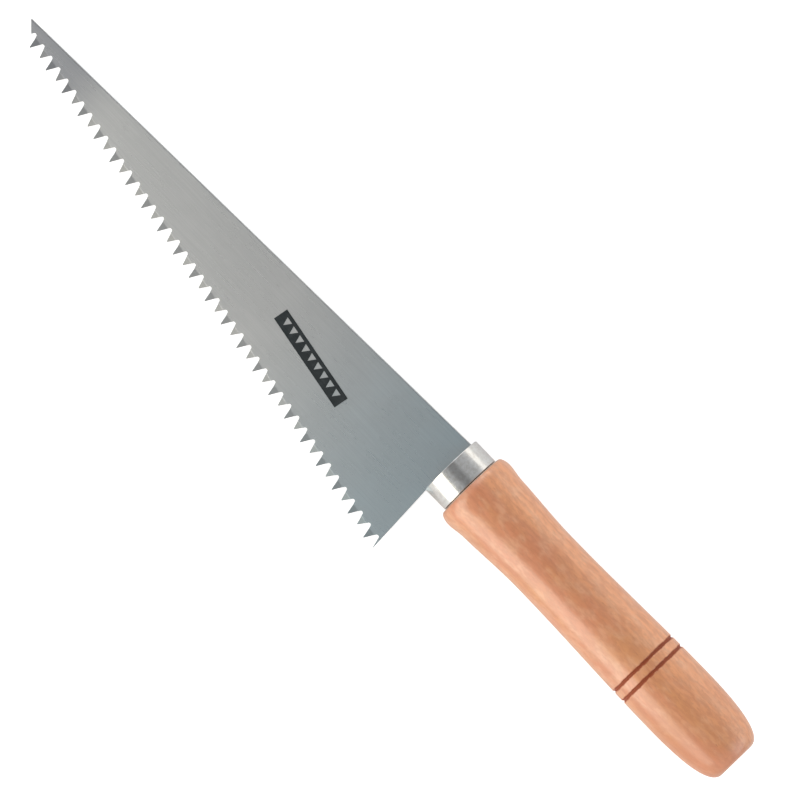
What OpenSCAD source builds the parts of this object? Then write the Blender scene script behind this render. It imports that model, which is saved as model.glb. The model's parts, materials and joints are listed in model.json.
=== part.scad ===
// Drywall saw: a tapered, coarse-toothed blade whose tang is bonded into a turned wooden handle
// behind a steel ferrule. Millimetres. The saw lies the way it rests on a bench, on the tips of the
// teeth that are set downwards and on the swell at the front of its handle.

/* [Blade] */
// Length of the blade from the ferrule's mouth to its point
blade_length = 182.2; // [140:1:230]
// Thickness of the blade's plate
blade_thickness = 1.2; // [0.8:0.1:2]
// How far the back edge lies inside the ferrule's rim, at the ferrule
back_inset = 1.45; // [0.9:0.05:3]
// Height of the back edge above the handle's axis, at the point
point_rise = 2.9; // [1:0.1:5]
// Depth of the first tooth below the handle's axis
first_tooth_drop = 3.4; // [1:0.1:6]
// Distance of the first tooth behind the blade's point
first_tooth_setback = 5.7; // [4.5:0.1:8]
// Depth of the last tooth below the handle's axis
heel_drop = 35.7; // [28:0.1:45]
// How far the heel edge leans back towards the handle over its length
heel_lean = 1.1; // [0:0.1:3]
// How far the tooth line is hollowed at its middle
tooth_line_hollow = 0.6; // [0:0.1:2]
// Angle between the blunt nose and the handle's axis
nose_angle = 46; // [35:1:70]

/* [Teeth] */
// Mean distance from tooth to tooth, which is rounded to fit the tooth line
tooth_pitch = 4.2; // [3.2:0.1:5.5]
// How much wider the last gap between teeth is than the first
pitch_growth = 0.14; // [0:0.02:0.4]
// Angle of the flank that faces the point, from square to the tooth line
front_flank = 23; // [18:1:28]
// Angle of the flank that faces the handle, from square to the tooth line
rear_flank = 20; // [16:1:28]
// Radius at the bottom of a gullet
gullet_radius = 0.6; // [0.4:0.1:1]
// Width of a tooth's blunt tip
tip_width = 0.25; // [0.1:0.05:0.4]
// Sideways set of each tip, alternately up and down
tooth_set = 1.1; // [0.3:0.05:1.3]
// Share of a tooth's height that is bent over
set_share = 0.75; // [0.5:0.05:0.9]

/* [Tang] */
// Length of the tang behind the ferrule's mouth
tang_length = 52; // [30:1:80]
// Width of the tang at the blade's shoulder
tang_width = 13; // [8:0.5:16]
// Width of the tang at its round end
tang_end_width = 7; // [4:0.5:10]
// Adhesive film between the tang and its slot, on every side
adhesive_film = 0.35; // [0.2:0.05:0.8]

/* [Ferrule] */
// Length of the ferrule
ferrule_length = 8.3; // [6:0.1:16]
// Outside diameter of the ferrule
ferrule_d = 20.8; // [17.5:0.1:24.8]
// Wall of the ferrule
ferrule_wall = 0.8; // [0.5:0.1:1.2]
// Bevel on the ferrule's outer edges
ferrule_bevel = 0.25; // [0.1:0.05:0.4]
// Gap between the ferrule and the handle's shoulder
ferrule_gap = 0.3; // [0.1:0.05:0.6]
// Radial clearance between the ferrule and the handle's spigot
spigot_clearance = 0.05; // [0.02:0.01:0.15]

/* [Handle] */
// Length of the handle behind the ferrule
handle_length = 113; // [92:1:138]
// Step from the ferrule out to the edge of the handle's front face
shoulder_step = 0.85; // [0.4:0.05:2]
// Step from the ferrule out to the top of the swell at the front
swell_step = 2.35; // [2:0.05:5]
// Place of the swell behind the front face
swell_place = 3.6; // [2:0.1:6]
// Height of the turned lip on the swell
lip_height = 0.52; // [0.2:0.02:1]
// Length over which the lip fades behind the swell
lip_fade = 5.5; // [3:0.1:9]
// Diameter of the waist
waist_d = 22.2; // [19:0.1:23]
// Place of the waist behind the front face
waist_place = 32; // [24:1:44]
// Diameter of the rear swell
rear_d = 24.2; // [21:0.1:29]
// Length of the rounded end behind the rear swell
butt_run = 25; // [18:1:34]
// Diameter of the flat on the butt
butt_flat_d = 11.8; // [8:0.1:16]
// Fullness of the rounded end along the handle
butt_fullness = 16; // [10:0.5:17.5]
// Fullness of the rounded end's corner
butt_corner = 4.6; // [2:0.1:5.5]
// Distance of the front groove from the butt
groove_from_butt = 39.7; // [36:0.1:50]
// Distance from the first groove to the second
groove_spacing = 3.9; // [3:0.1:6]
// Width of a groove
groove_width = 1.4; // [0.8:0.1:2]
// Depth of a groove
groove_depth = 0.45; // [0.2:0.05:0.8]

/* [Printed mark] */
// Length of the printed bar
mark_length = 32; // [20:1:40]
// Width of the printed bar
mark_width = 5; // [3:0.1:8]
// Distance of the bar's middle from the last tooth, along the tooth line
mark_place = 57; // [40:1:70]
// Distance of the bar's middle line from the tooth tips
mark_inset = 17.3; // [12:0.5:22]
// Number of saw teeth left clear in the bar
mark_teeth = 9; // [5:1:12]
// Thickness of the ink
mark_thickness = 0.05; // [0.03:0.01:0.1]

/* [Hidden] */
$fn = 96;
ARC_STEPS = 8;       // straight pieces in a gullet's arc
CURVE_STEPS = 14;    // straight pieces in each curve of the handle's outline
END_STEPS = 12;      // straight pieces in the tang's round end
LIP_CROWDING = 1.5;  // crowds the points of the front taper towards the lip, where it curves most
CLEAR_SHARE = 0.72;  // share of its step that a tooth left clear in the mark takes up
OVERCUT = 1;         // how far a cut runs out past an open end
mouth = -(ferrule_length + ferrule_gap);    // the ferrule's mouth, ahead of the handle's shoulder
ferrule_r = ferrule_d / 2;
spigot_r = ferrule_r - ferrule_wall - spigot_clearance;
point = [mouth - blade_length, point_rise];
first_tip = [point.x + first_tooth_setback, -first_tooth_drop];
last_tip = [mouth + heel_lean, -heel_drop];

// the tooth line: how it lies, how many teeth fit on it and how deep they are
tooth_line = last_tip - first_tip;
line_length = norm(tooth_line);
tooth_angle = atan2(-tooth_line.y, tooth_line.x);
gaps = round(line_length / tooth_pitch);
first_gap = line_length / gaps - pitch_growth / 2;
flank_run = tan(front_flank) + tan(rear_flank);
arc_rise = gullet_radius * cos((front_flank - rear_flank) / 2) / sin((front_flank + rear_flank) / 2);
tooth_height = (first_gap - tip_width) / flank_run - arc_rise + gullet_radius;
bend_height = set_share * tooth_height;
bend_angle = atan2(tooth_set, bend_height);
bend_lap = blade_thickness * tan(bend_angle / 2);

// how the saw lies: tilted about the tips that are set downwards until the handle's swell is down too
swell_r = ferrule_r + swell_step;
to_tips = [swell_place, 0] - last_tip;
tips_out = to_tips.x * sin(tooth_angle) + to_tips.y * cos(tooth_angle) - blade_thickness / 2 * sin(bend_angle);
tips_down = tooth_set + blade_thickness / 2 * cos(bend_angle);
tilt = asin(swell_r / norm([tips_out, tips_down])) - atan2(tips_down, tips_out);
nose_down = asin(sin(tooth_angle) * sin(tilt));
roll = atan2(cos(tooth_angle) * sin(tilt), cos(tilt));
axis_height = swell_r * cos(nose_down) - swell_place * sin(nose_down);
middle = [(handle_length + point.x) / 2 * cos(nose_down), (swell_r - heel_drop * cos(roll)) / 2];

// Everything is drawn with the handle's axis on X, the teeth towards -Y and the plate level,
// and is then laid down in its resting place, with the origin under the middle of the saw.
module at_rest() {
    translate([-middle.x, -middle.y, axis_height])
        rotate([roll, -nose_down, 0])
            children();
}

// a plate of the given thickness that is centred on the blade's middle plane
module plate(thickness) {
    translate([0, 0, -thickness / 2])
        linear_extrude(thickness)
            children();
}

// --- outlines -----------------------------------------------------------------------------------

// a point on the tooth line's own grid: along it towards the handle, and out past the tips
function on_line(along, out) = let (
    u = along / line_length,
    past = out - 4 * tooth_line_hollow * u * (1 - u)
) first_tip
    + along * [cos(tooth_angle), -sin(tooth_angle)]
    + past * [-sin(tooth_angle), -cos(tooth_angle)];

// how far along the line tooth i stands, counting from 0 at the point of the blade
function tip_along(i) = i * first_gap + pitch_growth * i * (i - 1) / (2 * (gaps - 1));

// where the line through a in direction u meets the line through b in direction v
function meet(a, u, b, v) = a + u * cross(b - a, v) / cross(u, v);

// the rounded bottom of the gullet ahead of tooth i, from its front side to its back side
function gullet_arc(i) = let (
    notch_depth = (tip_along(i) - tip_along(i - 1) - tip_width) / flank_run,
    deepest = tip_along(i) - tip_width / 2 - notch_depth * tan(front_flank),
    centre = [deepest + arc_rise * tan((front_flank - rear_flank) / 2), arc_rise - notch_depth]
) [
    for (k = [0 : ARC_STEPS])
        let (a = rear_flank + (180 - rear_flank - front_flank) * k / ARC_STEPS)
            on_line(centre.x - gullet_radius * cos(a), centre.y - gullet_radius * sin(a))
];

// how far a tooth's two flanks stand from the middle of its tip, at a depth below the tip
function front_side(depth) = -tip_width / 2 - depth * tan(front_flank);
function rear_side(depth) = tip_width / 2 + depth * tan(rear_flank);

// the part of tooth i that stays flat, up to just past its bend
function stub(i) = let (depth = bend_height - bend_lap) [
    on_line(tip_along(i) + front_side(depth), -depth),
    on_line(tip_along(i) + rear_side(depth), -depth)
];

// the nose runs from the point down to the rear flank of a tooth that would stand ahead of the first
function nose_foot() = meet(
    point, [cos(nose_angle), -sin(nose_angle)],
    on_line(tip_along(-1) + rear_side(0), 0),
    on_line(rear_side(1), -1) - on_line(rear_side(0), 0));

// the tang and its slot: a taper with a round end, grown on every side by the film's thickness
function tang_outline(grow) = let (
    end_r = tang_end_width / 2,
    centre = mouth + tang_length - end_r
) [
    [mouth, tang_width / 2 + grow],
    for (k = [0 : END_STEPS])
        let (a = 90 - 180 * k / END_STEPS)
            [centre + (end_r + grow) * cos(a), (end_r + grow) * sin(a)],
    [mouth, -tang_width / 2 - grow]
];

// the same outline run out past the mouth, for a cut that opens there
function tang_cut(grow) = concat(
    [[mouth - OVERCUT, tang_width / 2 + grow]],
    tang_outline(grow),
    [[mouth - OVERCUT, -tang_width / 2 - grow]]
);

function blade_outline() = concat(
    [[mouth, ferrule_r - back_inset], point, nose_foot()],
    [for (i = [0 : gaps - 1]) each concat(gullet_arc(i), stub(i))],
    gullet_arc(gaps),
    [last_tip, [mouth, -ferrule_r]],
    let (tang = tang_outline(0)) [for (k = [1 : len(tang)]) tang[len(tang) - k]]
);

// a soft step from 0 to 1
function ease(u) = (1 - cos(180 * min(max(u, 0), 1))) / 2;
function bezier(a, b, c, d, t) =
    pow(1 - t, 3) * a + 3 * pow(1 - t, 2) * t * b + 3 * (1 - t) * t * t * c + pow(t, 3) * d;

// the handle's outline as [radius, place], from its front face to its butt
front_r = ferrule_r + shoulder_step;
waist_r = waist_d / 2;
rear_r = rear_d / 2;
butt_flat_r = butt_flat_d / 2;
rear_place = handle_length - butt_run;
groove_place = handle_length - groove_from_butt;
function swell_front() = [
    for (k = [0 : CURVE_STEPS])
        let (a = 90 * k / CURVE_STEPS)
            [front_r + (swell_r - front_r) * sin(a), swell_place * (1 - cos(a))]
];
function front_taper() = [
    for (k = [1 : 2 * CURVE_STEPS])
        let (
            x = swell_place + (waist_place - swell_place) * pow(k / (2 * CURVE_STEPS), LIP_CROWDING),
            body = ease((waist_place - x) / (waist_place - swell_place)),
            lip = ease(1 - (x - swell_place) / lip_fade)
        )
            [waist_r + (swell_r - lip_height - waist_r) * body + lip_height * lip, x]
];
function rear_taper() = [
    for (k = [1 : CURVE_STEPS])
        let (u = k / CURVE_STEPS)
            [waist_r + (rear_r - waist_r) * ease(u), waist_place + (rear_place - waist_place) * u]
];
function butt_round() = [
    for (k = [1 : CURVE_STEPS])
        bezier(
            [rear_r, rear_place],
            [rear_r, rear_place + butt_fullness],
            [butt_flat_r + butt_corner, handle_length],
            [butt_flat_r, handle_length],
            k / CURVE_STEPS)
];
function handle_outline() = concat(
    [[0, mouth], [spigot_r, mouth], [spigot_r, 0]],
    swell_front(), front_taper(), rear_taper(), butt_round(),
    [[0, handle_length]]
);

// the handle's radius where a groove is cut, and the groove's section there
function rear_taper_r(x) =
    waist_r + (rear_r - waist_r) * ease((x - waist_place) / (rear_place - waist_place));
function groove_section(x) = let (r = rear_taper_r(x)) [
    [r - groove_depth, x],
    [r + groove_depth, x + groove_width],
    [r + groove_depth, x - groove_width]
];

// --- pieces -------------------------------------------------------------------------------------

// turns a [radius, place] outline about the handle's axis
module turned(outline) {
    rotate([0, 90, 0])
        rotate_extrude()
            polygon(outline);
}

// the bent part of tooth i, turned about its bend: up on even teeth, down on odd ones
module set_tooth(i) {
    length = norm([tooth_set, bend_height]);
    turn = i % 2 == 0 ? -bend_angle : bend_angle;
    root = on_line(tip_along(i), -bend_height);
    translate([root.x, root.y, 0])
        rotate([0, 0, -tooth_angle])
            rotate([turn, 0, 0])
                plate(blade_thickness)
                    polygon([
                        [front_side(bend_height + bend_lap), bend_lap],
                        [front_side(0), -length],
                        [rear_side(0), -length],
                        [rear_side(bend_height + bend_lap), bend_lap]
                    ]);
}

module blade() {
    color("LightSteelBlue")
        at_rest()
            union() {
                plate(blade_thickness)
                    polygon(blade_outline());
                for (i = [0 : gaps - 1])
                    set_tooth(i);
            }
}

// a plain bar of ink along the teeth, with a row of small saw teeth left clear in it
module blade_mark() {
    middle_of_mark = on_line(line_length - mark_place, -mark_inset);
    step = mark_length / (mark_teeth + 1);
    clear_half = CLEAR_SHARE * step / 2;
    color("DarkSlateGray")
        at_rest()
            translate([middle_of_mark.x, middle_of_mark.y, blade_thickness / 2])
                rotate([0, 0, -tooth_angle])
                    linear_extrude(mark_thickness)
                        difference() {
                            square([mark_length, mark_width], center = true);
                            for (i = [1 : mark_teeth])
                                translate([i * step - mark_length / 2, 0])
                                    polygon([
                                        [-clear_half, mark_width / 4],
                                        [clear_half, mark_width / 4],
                                        [0, -mark_width / 4]
                                    ]);
                        }
}

module ferrule() {
    inner_r = ferrule_r - ferrule_wall;
    back = -ferrule_gap;
    color("Silver")
        at_rest()
            turned([
                [inner_r, mouth],
                [ferrule_r - ferrule_bevel, mouth],
                [ferrule_r, mouth + ferrule_bevel],
                [ferrule_r, back - ferrule_bevel],
                [ferrule_r - ferrule_bevel, back],
                [inner_r, back]
            ]);
}

module handle() {
    color("BurlyWood")
        at_rest()
            difference() {
                turned(handle_outline());
                for (i = [0, 1])
                    turned(groove_section(groove_place + i * groove_spacing));
                plate(blade_thickness + 2 * adhesive_film)
                    polygon(tang_cut(adhesive_film));
            }
}

// the cured adhesive that fills the slot round the tang
module tang_adhesive() {
    color("DarkKhaki")
        at_rest()
            difference() {
                plate(blade_thickness + 2 * adhesive_film)
                    polygon(tang_outline(adhesive_film));
                plate(blade_thickness)
                    polygon(tang_cut(0));
            }
}

blade();
blade_mark();
ferrule();
handle();
tang_adhesive();
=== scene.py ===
"""The finished look of a drywall saw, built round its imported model.

The saw has a tapered steel blade with coarse teeth that are set alternately up and down, a polished
steel ferrule, and a turned and lacquered hardwood handle with two burnt grooves. Each sub-assembly is
a class that holds its sizes, builds its meshes in the saw's own axes (X along the handle towards the
butt, Y towards the blade's back, Z square to the blade) and lays them down where the frame says.
Lengths are in metres. Shader patterns work in millimetres of the saw's own axes.
"""

from __future__ import annotations

import json
import logging
import math
from dataclasses import dataclass, field
from enum import Enum
from typing import Any

import bmesh
import bpy
from mathutils import Matrix, Quaternion, Vector
from mathutils.geometry import delaunay_2d_cdt

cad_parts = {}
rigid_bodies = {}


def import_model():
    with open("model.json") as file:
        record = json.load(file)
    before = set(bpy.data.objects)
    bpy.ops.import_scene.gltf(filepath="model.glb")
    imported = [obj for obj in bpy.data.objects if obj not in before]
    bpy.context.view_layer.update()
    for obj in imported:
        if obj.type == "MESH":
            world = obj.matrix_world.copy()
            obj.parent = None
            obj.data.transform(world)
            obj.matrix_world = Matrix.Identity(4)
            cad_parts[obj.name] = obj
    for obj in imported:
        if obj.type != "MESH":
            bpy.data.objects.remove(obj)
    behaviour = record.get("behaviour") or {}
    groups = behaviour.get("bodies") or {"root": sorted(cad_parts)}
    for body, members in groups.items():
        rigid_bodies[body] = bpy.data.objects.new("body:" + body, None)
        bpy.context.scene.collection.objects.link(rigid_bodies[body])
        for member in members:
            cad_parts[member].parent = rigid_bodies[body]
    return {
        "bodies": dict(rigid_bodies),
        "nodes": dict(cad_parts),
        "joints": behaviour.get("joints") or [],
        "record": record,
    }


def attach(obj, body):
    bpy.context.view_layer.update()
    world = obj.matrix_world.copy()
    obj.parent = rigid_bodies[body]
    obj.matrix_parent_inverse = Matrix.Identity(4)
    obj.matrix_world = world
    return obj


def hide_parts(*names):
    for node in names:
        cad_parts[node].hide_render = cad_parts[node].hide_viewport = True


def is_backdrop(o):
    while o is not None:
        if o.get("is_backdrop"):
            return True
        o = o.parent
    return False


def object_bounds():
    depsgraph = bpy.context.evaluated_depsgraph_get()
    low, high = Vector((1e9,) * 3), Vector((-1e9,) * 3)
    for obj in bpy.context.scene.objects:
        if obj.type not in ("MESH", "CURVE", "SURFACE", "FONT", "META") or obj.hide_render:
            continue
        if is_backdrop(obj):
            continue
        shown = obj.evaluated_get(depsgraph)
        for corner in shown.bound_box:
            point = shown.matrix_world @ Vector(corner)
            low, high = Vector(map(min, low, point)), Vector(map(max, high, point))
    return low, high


LOG = logging.getLogger("drywall_saw")
MM = 0.001
ROOT = "root"
EDGE = "edge"  # The attribute that is 1 on a piece's edges.
PRESSED = "pressed"  # The attribute that is 1 where setting has pressed a tooth.

Colour = tuple[float, float, float, float]
Socket = bpy.types.NodeSocket


class Slot(Enum):
    """The names of the record's material slots; the pieces' finishes are built here, not taken from them."""

    BLADE = "blade_steel"
    INK = "mark_ink"
    FERRULE = "ferrule_steel"
    WOOD = "handle_wood"
    ADHESIVE = "adhesive"


class Side(Enum):
    """The side of the blade that a tooth is set to."""

    UP = 1
    DOWN = -1


class Rounding(Enum):
    """The stations round a softened edge, as (share of the inset, share of the drop)."""

    FLAT = (1.0, 0.0)
    HALFWAY = (0.293, 0.293)
    WALL = (0.0, 1.0)


# --- placing ---


@dataclass(frozen=True)
class Lie:
    """How the saw lies: the place of its own axes in the frame.

    Attributes:
        matrix: Takes a point in the saw's own axes to the frame.
    """

    matrix: Matrix

    @classmethod
    def from_frame(cls, frame: dict[str, Any], handle_length: float) -> Lie:
        """Reads the saw's axes from the butt's mount and from the flat top of the printed mark.

        Args:
            handle_length: Length of the handle behind the ferrule, which the butt's mount ends.

        Returns:
            The saw's axes, with their origin on the handle's axis at its front face.
        """
        butt = next(m for m in frame["record"]["mounts"] if m["name"] == "butt_face")
        along = Vector(butt["axis"]).normalized()
        areas: dict[tuple[float, ...], float] = {}
        for face in frame["nodes"]["blade_mark"].data.polygons:
            key = tuple(round(c, 4) for c in face.normal)
            areas[key] = areas.get(key, 0.0) + face.area
        flat = max((key for key in areas if key[2] > 0), key=lambda key: areas[key])
        across = Vector(flat).cross(along).normalized()
        up = along.cross(across)
        turn = Matrix((along, across, up)).transposed().to_4x4()
        origin = Vector(butt["pos_m"]) - handle_length * along
        return cls(Matrix.Translation(origin) @ turn)

    def lay(self, name: str, mesh: bpy.types.Mesh) -> bpy.types.Object:
        """Lays a mesh down in the frame and makes it a piece that rides on the saw's one body.

        Args:
            name: Name of the piece.
            mesh: Its mesh, in the saw's own axes.

        Returns:
            The piece, whose object sits at the origin.
        """
        mesh.transform(self.matrix)
        piece = new_object(name, mesh)
        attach(piece, ROOT)
        return piece


def new_object(name: str, data: bpy.types.ID) -> bpy.types.Object:
    """Makes an object of some data and links it to the scene.

    Args:
        name: Name of the object.
        data: Its mesh, light or camera.

    Returns:
        The object, at the origin.
    """
    made = bpy.data.objects.new(name, data)
    bpy.context.scene.collection.objects.link(made)
    return made


def new_mesh(
    name: str, points: list[Vector], faces: list[tuple[int, ...]], edges: list[tuple[int, int]] | None = None
) -> bpy.types.Mesh:
    """Makes a mesh from points and faces, or from points and edges.

    Args:
        name: Name of the mesh.
        points: Its points.
        faces: The points of each face, by their place in the list.
        edges: The points of each edge, where the mesh has no faces.

    Returns:
        The mesh.
    """
    mesh = bpy.data.meshes.new(name)
    mesh.from_pydata(points, edges or [], faces)
    mesh.update()
    return mesh


def mark_points(mesh: bpy.types.Mesh, name: str, values: list[float]) -> None:
    """Gives a mesh an attribute with one value for each point."""
    mesh.attributes.new(name, "FLOAT", "POINT").data.foreach_set("value", values)


def run_modifiers(holder: bpy.types.Object) -> bpy.types.Mesh:
    """Turns an object with its modifiers into a plain mesh, and removes the object.

    Args:
        holder: The object, which nothing else needs.

    Returns:
        The plain mesh.
    """
    graph = bpy.context.evaluated_depsgraph_get()
    made = bpy.data.meshes.new_from_object(holder.evaluated_get(graph), depsgraph=graph)
    holder.modifiers.clear()
    bpy.data.objects.remove(holder)
    return made


def close_and_orient(mesh: bpy.types.Mesh, merge: float) -> None:
    """Merges a mesh's doubles, drops faces without area and turns every face outwards.

    Args:
        mesh: The mesh to put right.
        merge: Distance under which two points are one.
    """
    work = bmesh.new()
    work.from_mesh(mesh)
    bmesh.ops.remove_doubles(work, verts=work.verts, dist=merge)
    bmesh.ops.dissolve_degenerate(work, edges=work.edges, dist=merge / 10)
    bmesh.ops.recalc_face_normals(work, faces=work.faces)
    if work.calc_volume(signed=True) < 0:
        bmesh.ops.reverse_faces(work, faces=work.faces)
    work.to_mesh(mesh)
    work.free()


def shade_by_angle(mesh: bpy.types.Mesh, degrees: float) -> None:
    """Shades a mesh smooth, apart from the edges that turn by more than an angle."""
    mesh.shade_smooth()
    mesh.set_sharp_from_angle(angle=math.radians(degrees))


# --- node trees ---


class Wiring:
    """Adds nodes to a node tree and joins them."""

    # The places of a Mix node's colours, whose names its other kinds of value share.
    MIX_FIRST, MIX_SECOND, MIX_RESULT = 6, 7, 2

    def __init__(self, tree: bpy.types.NodeTree) -> None:
        """Keeps the tree that the nodes are added to."""
        self.tree = tree

    def feed(self, socket: Socket, value: Any) -> None:
        """Joins an output to an input, or sets the input's own value.

        Args:
            socket: The input.
            value: The output to join to it, or the value to set.
        """
        if isinstance(value, bpy.types.NodeSocket):
            self.tree.links.new(value, socket)
        else:
            socket.default_value = value

    def node(self, kind: str, inputs: dict[str | int, Any] | None = None, **settings: Any) -> bpy.types.Node:
        """Adds a node.

        Args:
            kind: The node's type.
            inputs: Values or outputs for its inputs, by name or place.
            **settings: The node's own settings.

        Returns:
            The node.
        """
        made = self.tree.nodes.new(kind)
        for name, value in settings.items():
            setattr(made, name, value)
        for key, value in (inputs or {}).items():
            self.feed(made.inputs[key], value)
        return made

    def math(self, operation: str, *values: Any) -> Socket:
        """Adds a Math node and returns its result."""
        return self.node("ShaderNodeMath", dict(enumerate(values)), operation=operation).outputs[0]

    def times(self, first: Any, second: Any) -> Socket:
        """Multiplies two values."""
        return self.math("MULTIPLY", first, second)

    def plus(self, first: Any, second: Any) -> Socket:
        """Adds two values."""
        return self.math("ADD", first, second)

    def minus(self, first: Any, second: Any) -> Socket:
        """Takes the second value from the first."""
        return self.math("SUBTRACT", first, second)

    def over(self, first: Any, second: Any) -> Socket:
        """Divides the first value by the second."""
        return self.math("DIVIDE", first, second)

    def times_plus(self, value: Any, factor: Any, added: Any) -> Socket:
        """Multiplies a value by a factor and adds another value."""
        return self.math("MULTIPLY_ADD", value, factor, added)

    def joined(self, x: Any = 0.0, y: Any = 0.0, z: Any = 0.0) -> Socket:
        """Puts a vector together from its three parts."""
        return self.node("ShaderNodeCombineXYZ", {"X": x, "Y": y, "Z": z}).outputs[0]

    def parts(self, vector: Any) -> tuple[Socket, Socket, Socket]:
        """Takes a vector apart."""
        split = self.node("ShaderNodeSeparateXYZ", {"Vector": vector}).outputs
        return split[0], split[1], split[2]

    def stretch(self, vector: Any, scale: Any) -> Socket:
        """Scales a vector by a different amount along each axis."""
        return self.node("ShaderNodeVectorMath", {0: vector, 1: scale}, operation="MULTIPLY").outputs[0]

    def shift(self, vector: Any, offset: Any) -> Socket:
        """Moves a vector by an offset."""
        return self.node("ShaderNodeVectorMath", {0: vector, 1: offset}, operation="ADD").outputs[0]

    def scaled(self, vector: Any, scale: Any) -> Socket:
        """Scales a vector evenly."""
        return self.node("ShaderNodeVectorMath", {0: vector, "Scale": scale}, operation="SCALE").outputs[0]

    def span(self, value: Any, low: float, high: float, to_low: float = 0.0, to_high: float = 1.0) -> Socket:
        """Maps a range of values softly onto another.

        Args:
            value: The value to map.
            low: The value at which the result is to_low.
            high: The value at which the result is to_high.
            to_low: The result at low and past it.
            to_high: The result at high and past it.

        Returns:
            The result.
        """
        ends = {"From Min": low, "From Max": high, "To Min": to_low, "To Max": to_high}
        made = self.node("ShaderNodeMapRange", {"Value": value, **ends}, interpolation_type="SMOOTHSTEP")
        return made.outputs["Result"]

    def noise(self, vector: Any, scale: float, detail: float = 2.0, roughness: float = 0.5) -> Socket:
        """Adds a noise pattern.

        Args:
            vector: The coordinates that it is read at.
            scale: How fine it is, per unit of the coordinates.
            detail: How many finer layers it has.
            roughness: How strong the finer layers are.

        Returns:
            Its value, from 0 to 1.
        """
        inputs = {"Vector": vector, "Scale": scale, "Detail": detail, "Roughness": roughness}
        return self.node("ShaderNodeTexNoise", inputs).outputs[0]

    def mix(self, share: Any, first: Any, second: Any, blend: str = "MIX") -> Socket:
        """Mixes two colours.

        Args:
            share: How much of the second colour there is, from 0 to 1.
            first: The first colour.
            second: The second colour.
            blend: How the second colour is laid over the first.

        Returns:
            The mixed colour.
        """
        inputs = {"Factor": share, self.MIX_FIRST: first, self.MIX_SECOND: second}
        return self.node("ShaderNodeMix", inputs, data_type="RGBA", blend_type=blend).outputs[self.MIX_RESULT]


class GroupWiring(Wiring):
    """A shader node group that reads a vector, Vector, and some numbers, and puts out numbers."""

    def __init__(self, name: str, inputs: dict[str, float], outputs: tuple[str, ...]) -> None:
        """Makes the group's sockets.

        Args:
            name: Name of the group.
            inputs: First value of each number that it reads.
            outputs: Names of the numbers that it puts out.
        """
        super().__init__(bpy.data.node_groups.new(name, "ShaderNodeTree"))
        sockets = self.tree.interface
        sockets.new_socket("Vector", in_out="INPUT", socket_type="NodeSocketVector")
        for key, value in inputs.items():
            made = sockets.new_socket(key, in_out="INPUT", socket_type="NodeSocketFloat")
            made.default_value = value
        for key in outputs:
            sockets.new_socket(key, in_out="OUTPUT", socket_type="NodeSocketFloat")
        self.given = self.node("NodeGroupInput").outputs
        self.result = self.node("NodeGroupOutput").inputs

    def put_out(self, **values: Socket) -> bpy.types.NodeTree:
        """Joins the group's outputs.

        Args:
            **values: What each output gives; its name is in lower case.

        Returns:
            The finished group.
        """
        for key, value in values.items():
            self.feed(self.result[key.capitalize()], value)
        return self.tree


def brushed_group() -> bpy.types.NodeTree:
    """Fine lines that a belt or a brush leaves along X, for steel.

    Returns:
        A group whose outputs are the lines' tone and height, both from 0 to 1.
    """
    w = GroupWiring("brushed_lines", {"Fineness": 9.0, "Run": 0.12}, ("Tone", "Height"))
    fineness = w.given["Fineness"]
    narrow = w.joined(w.given["Run"], fineness, fineness)
    fine = w.noise(w.stretch(w.given["Vector"], narrow), 1.0, 3.0, 0.62)
    wide = w.scaled(narrow, 0.22)
    broad = w.noise(w.stretch(w.given["Vector"], wide), 1.0)
    tone = w.times_plus(fine, 0.65, w.times(broad, 0.35))
    return w.put_out(tone=w.span(tone, 0.3, 0.7), height=fine)


def scratch_group() -> bpy.types.NodeTree:
    """Sparse hair scratches in several directions.

    Returns:
        A group whose output is the mask of the scratches.
    """
    w = GroupWiring("hair_scratches", {"Density": 0.5}, ("Mask",))
    total: Any = 0.0
    for angle, size, seat in ((0.22, 0.9, 3.0), (-0.55, 1.3, 17.0), (1.15, 0.7, 41.0)):
        inputs = {"Vector": w.given["Vector"], "Angle": angle}
        turned = w.node("ShaderNodeVectorRotate", inputs, rotation_type="Z_AXIS").outputs[0]
        place = w.shift(turned, (seat, seat, 0.0))
        streak = w.noise(w.stretch(place, (0.035 * size, 5.0 * size, 0.4)), 1.0, 1.0, 0.4)
        line = w.span(w.math("ABSOLUTE", w.minus(streak, 0.5)), 0.0, 0.006, 1.0, 0.0)
        gate = w.span(w.noise(place, 0.11 * size, 1.0), 0.58, 0.7)
        total = w.math("MAXIMUM", total, w.times(line, gate))
    return w.put_out(mask=w.times(total, w.given["Density"]))


def smudge_group() -> bpy.types.NodeTree:
    """Handling marks and a little dust.

    Returns:
        A group whose outputs are the masks of soft smudges and of specks.
    """
    w = GroupWiring("smudges_and_specks", {"Scale": 0.09, "Amount": 0.5}, ("Smudge", "Speck"))
    cloud = w.noise(w.scaled(w.given["Vector"], w.given["Scale"]), 1.0, 4.0, 0.6)
    smudge = w.times(w.span(cloud, 0.45, 0.72), w.given["Amount"])
    dots = w.node("ShaderNodeTexVoronoi", {"Vector": w.given["Vector"], "Scale": 0.55}, feature="F1")
    speck = w.span(dots.outputs["Distance"], 0.03, 0.055, 1.0, 0.0)
    thinned = w.times(speck, w.span(w.noise(w.given["Vector"], 0.3), 0.55, 0.62))
    return w.put_out(smudge=smudge, speck=w.times(thinned, w.given["Amount"]))


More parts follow.
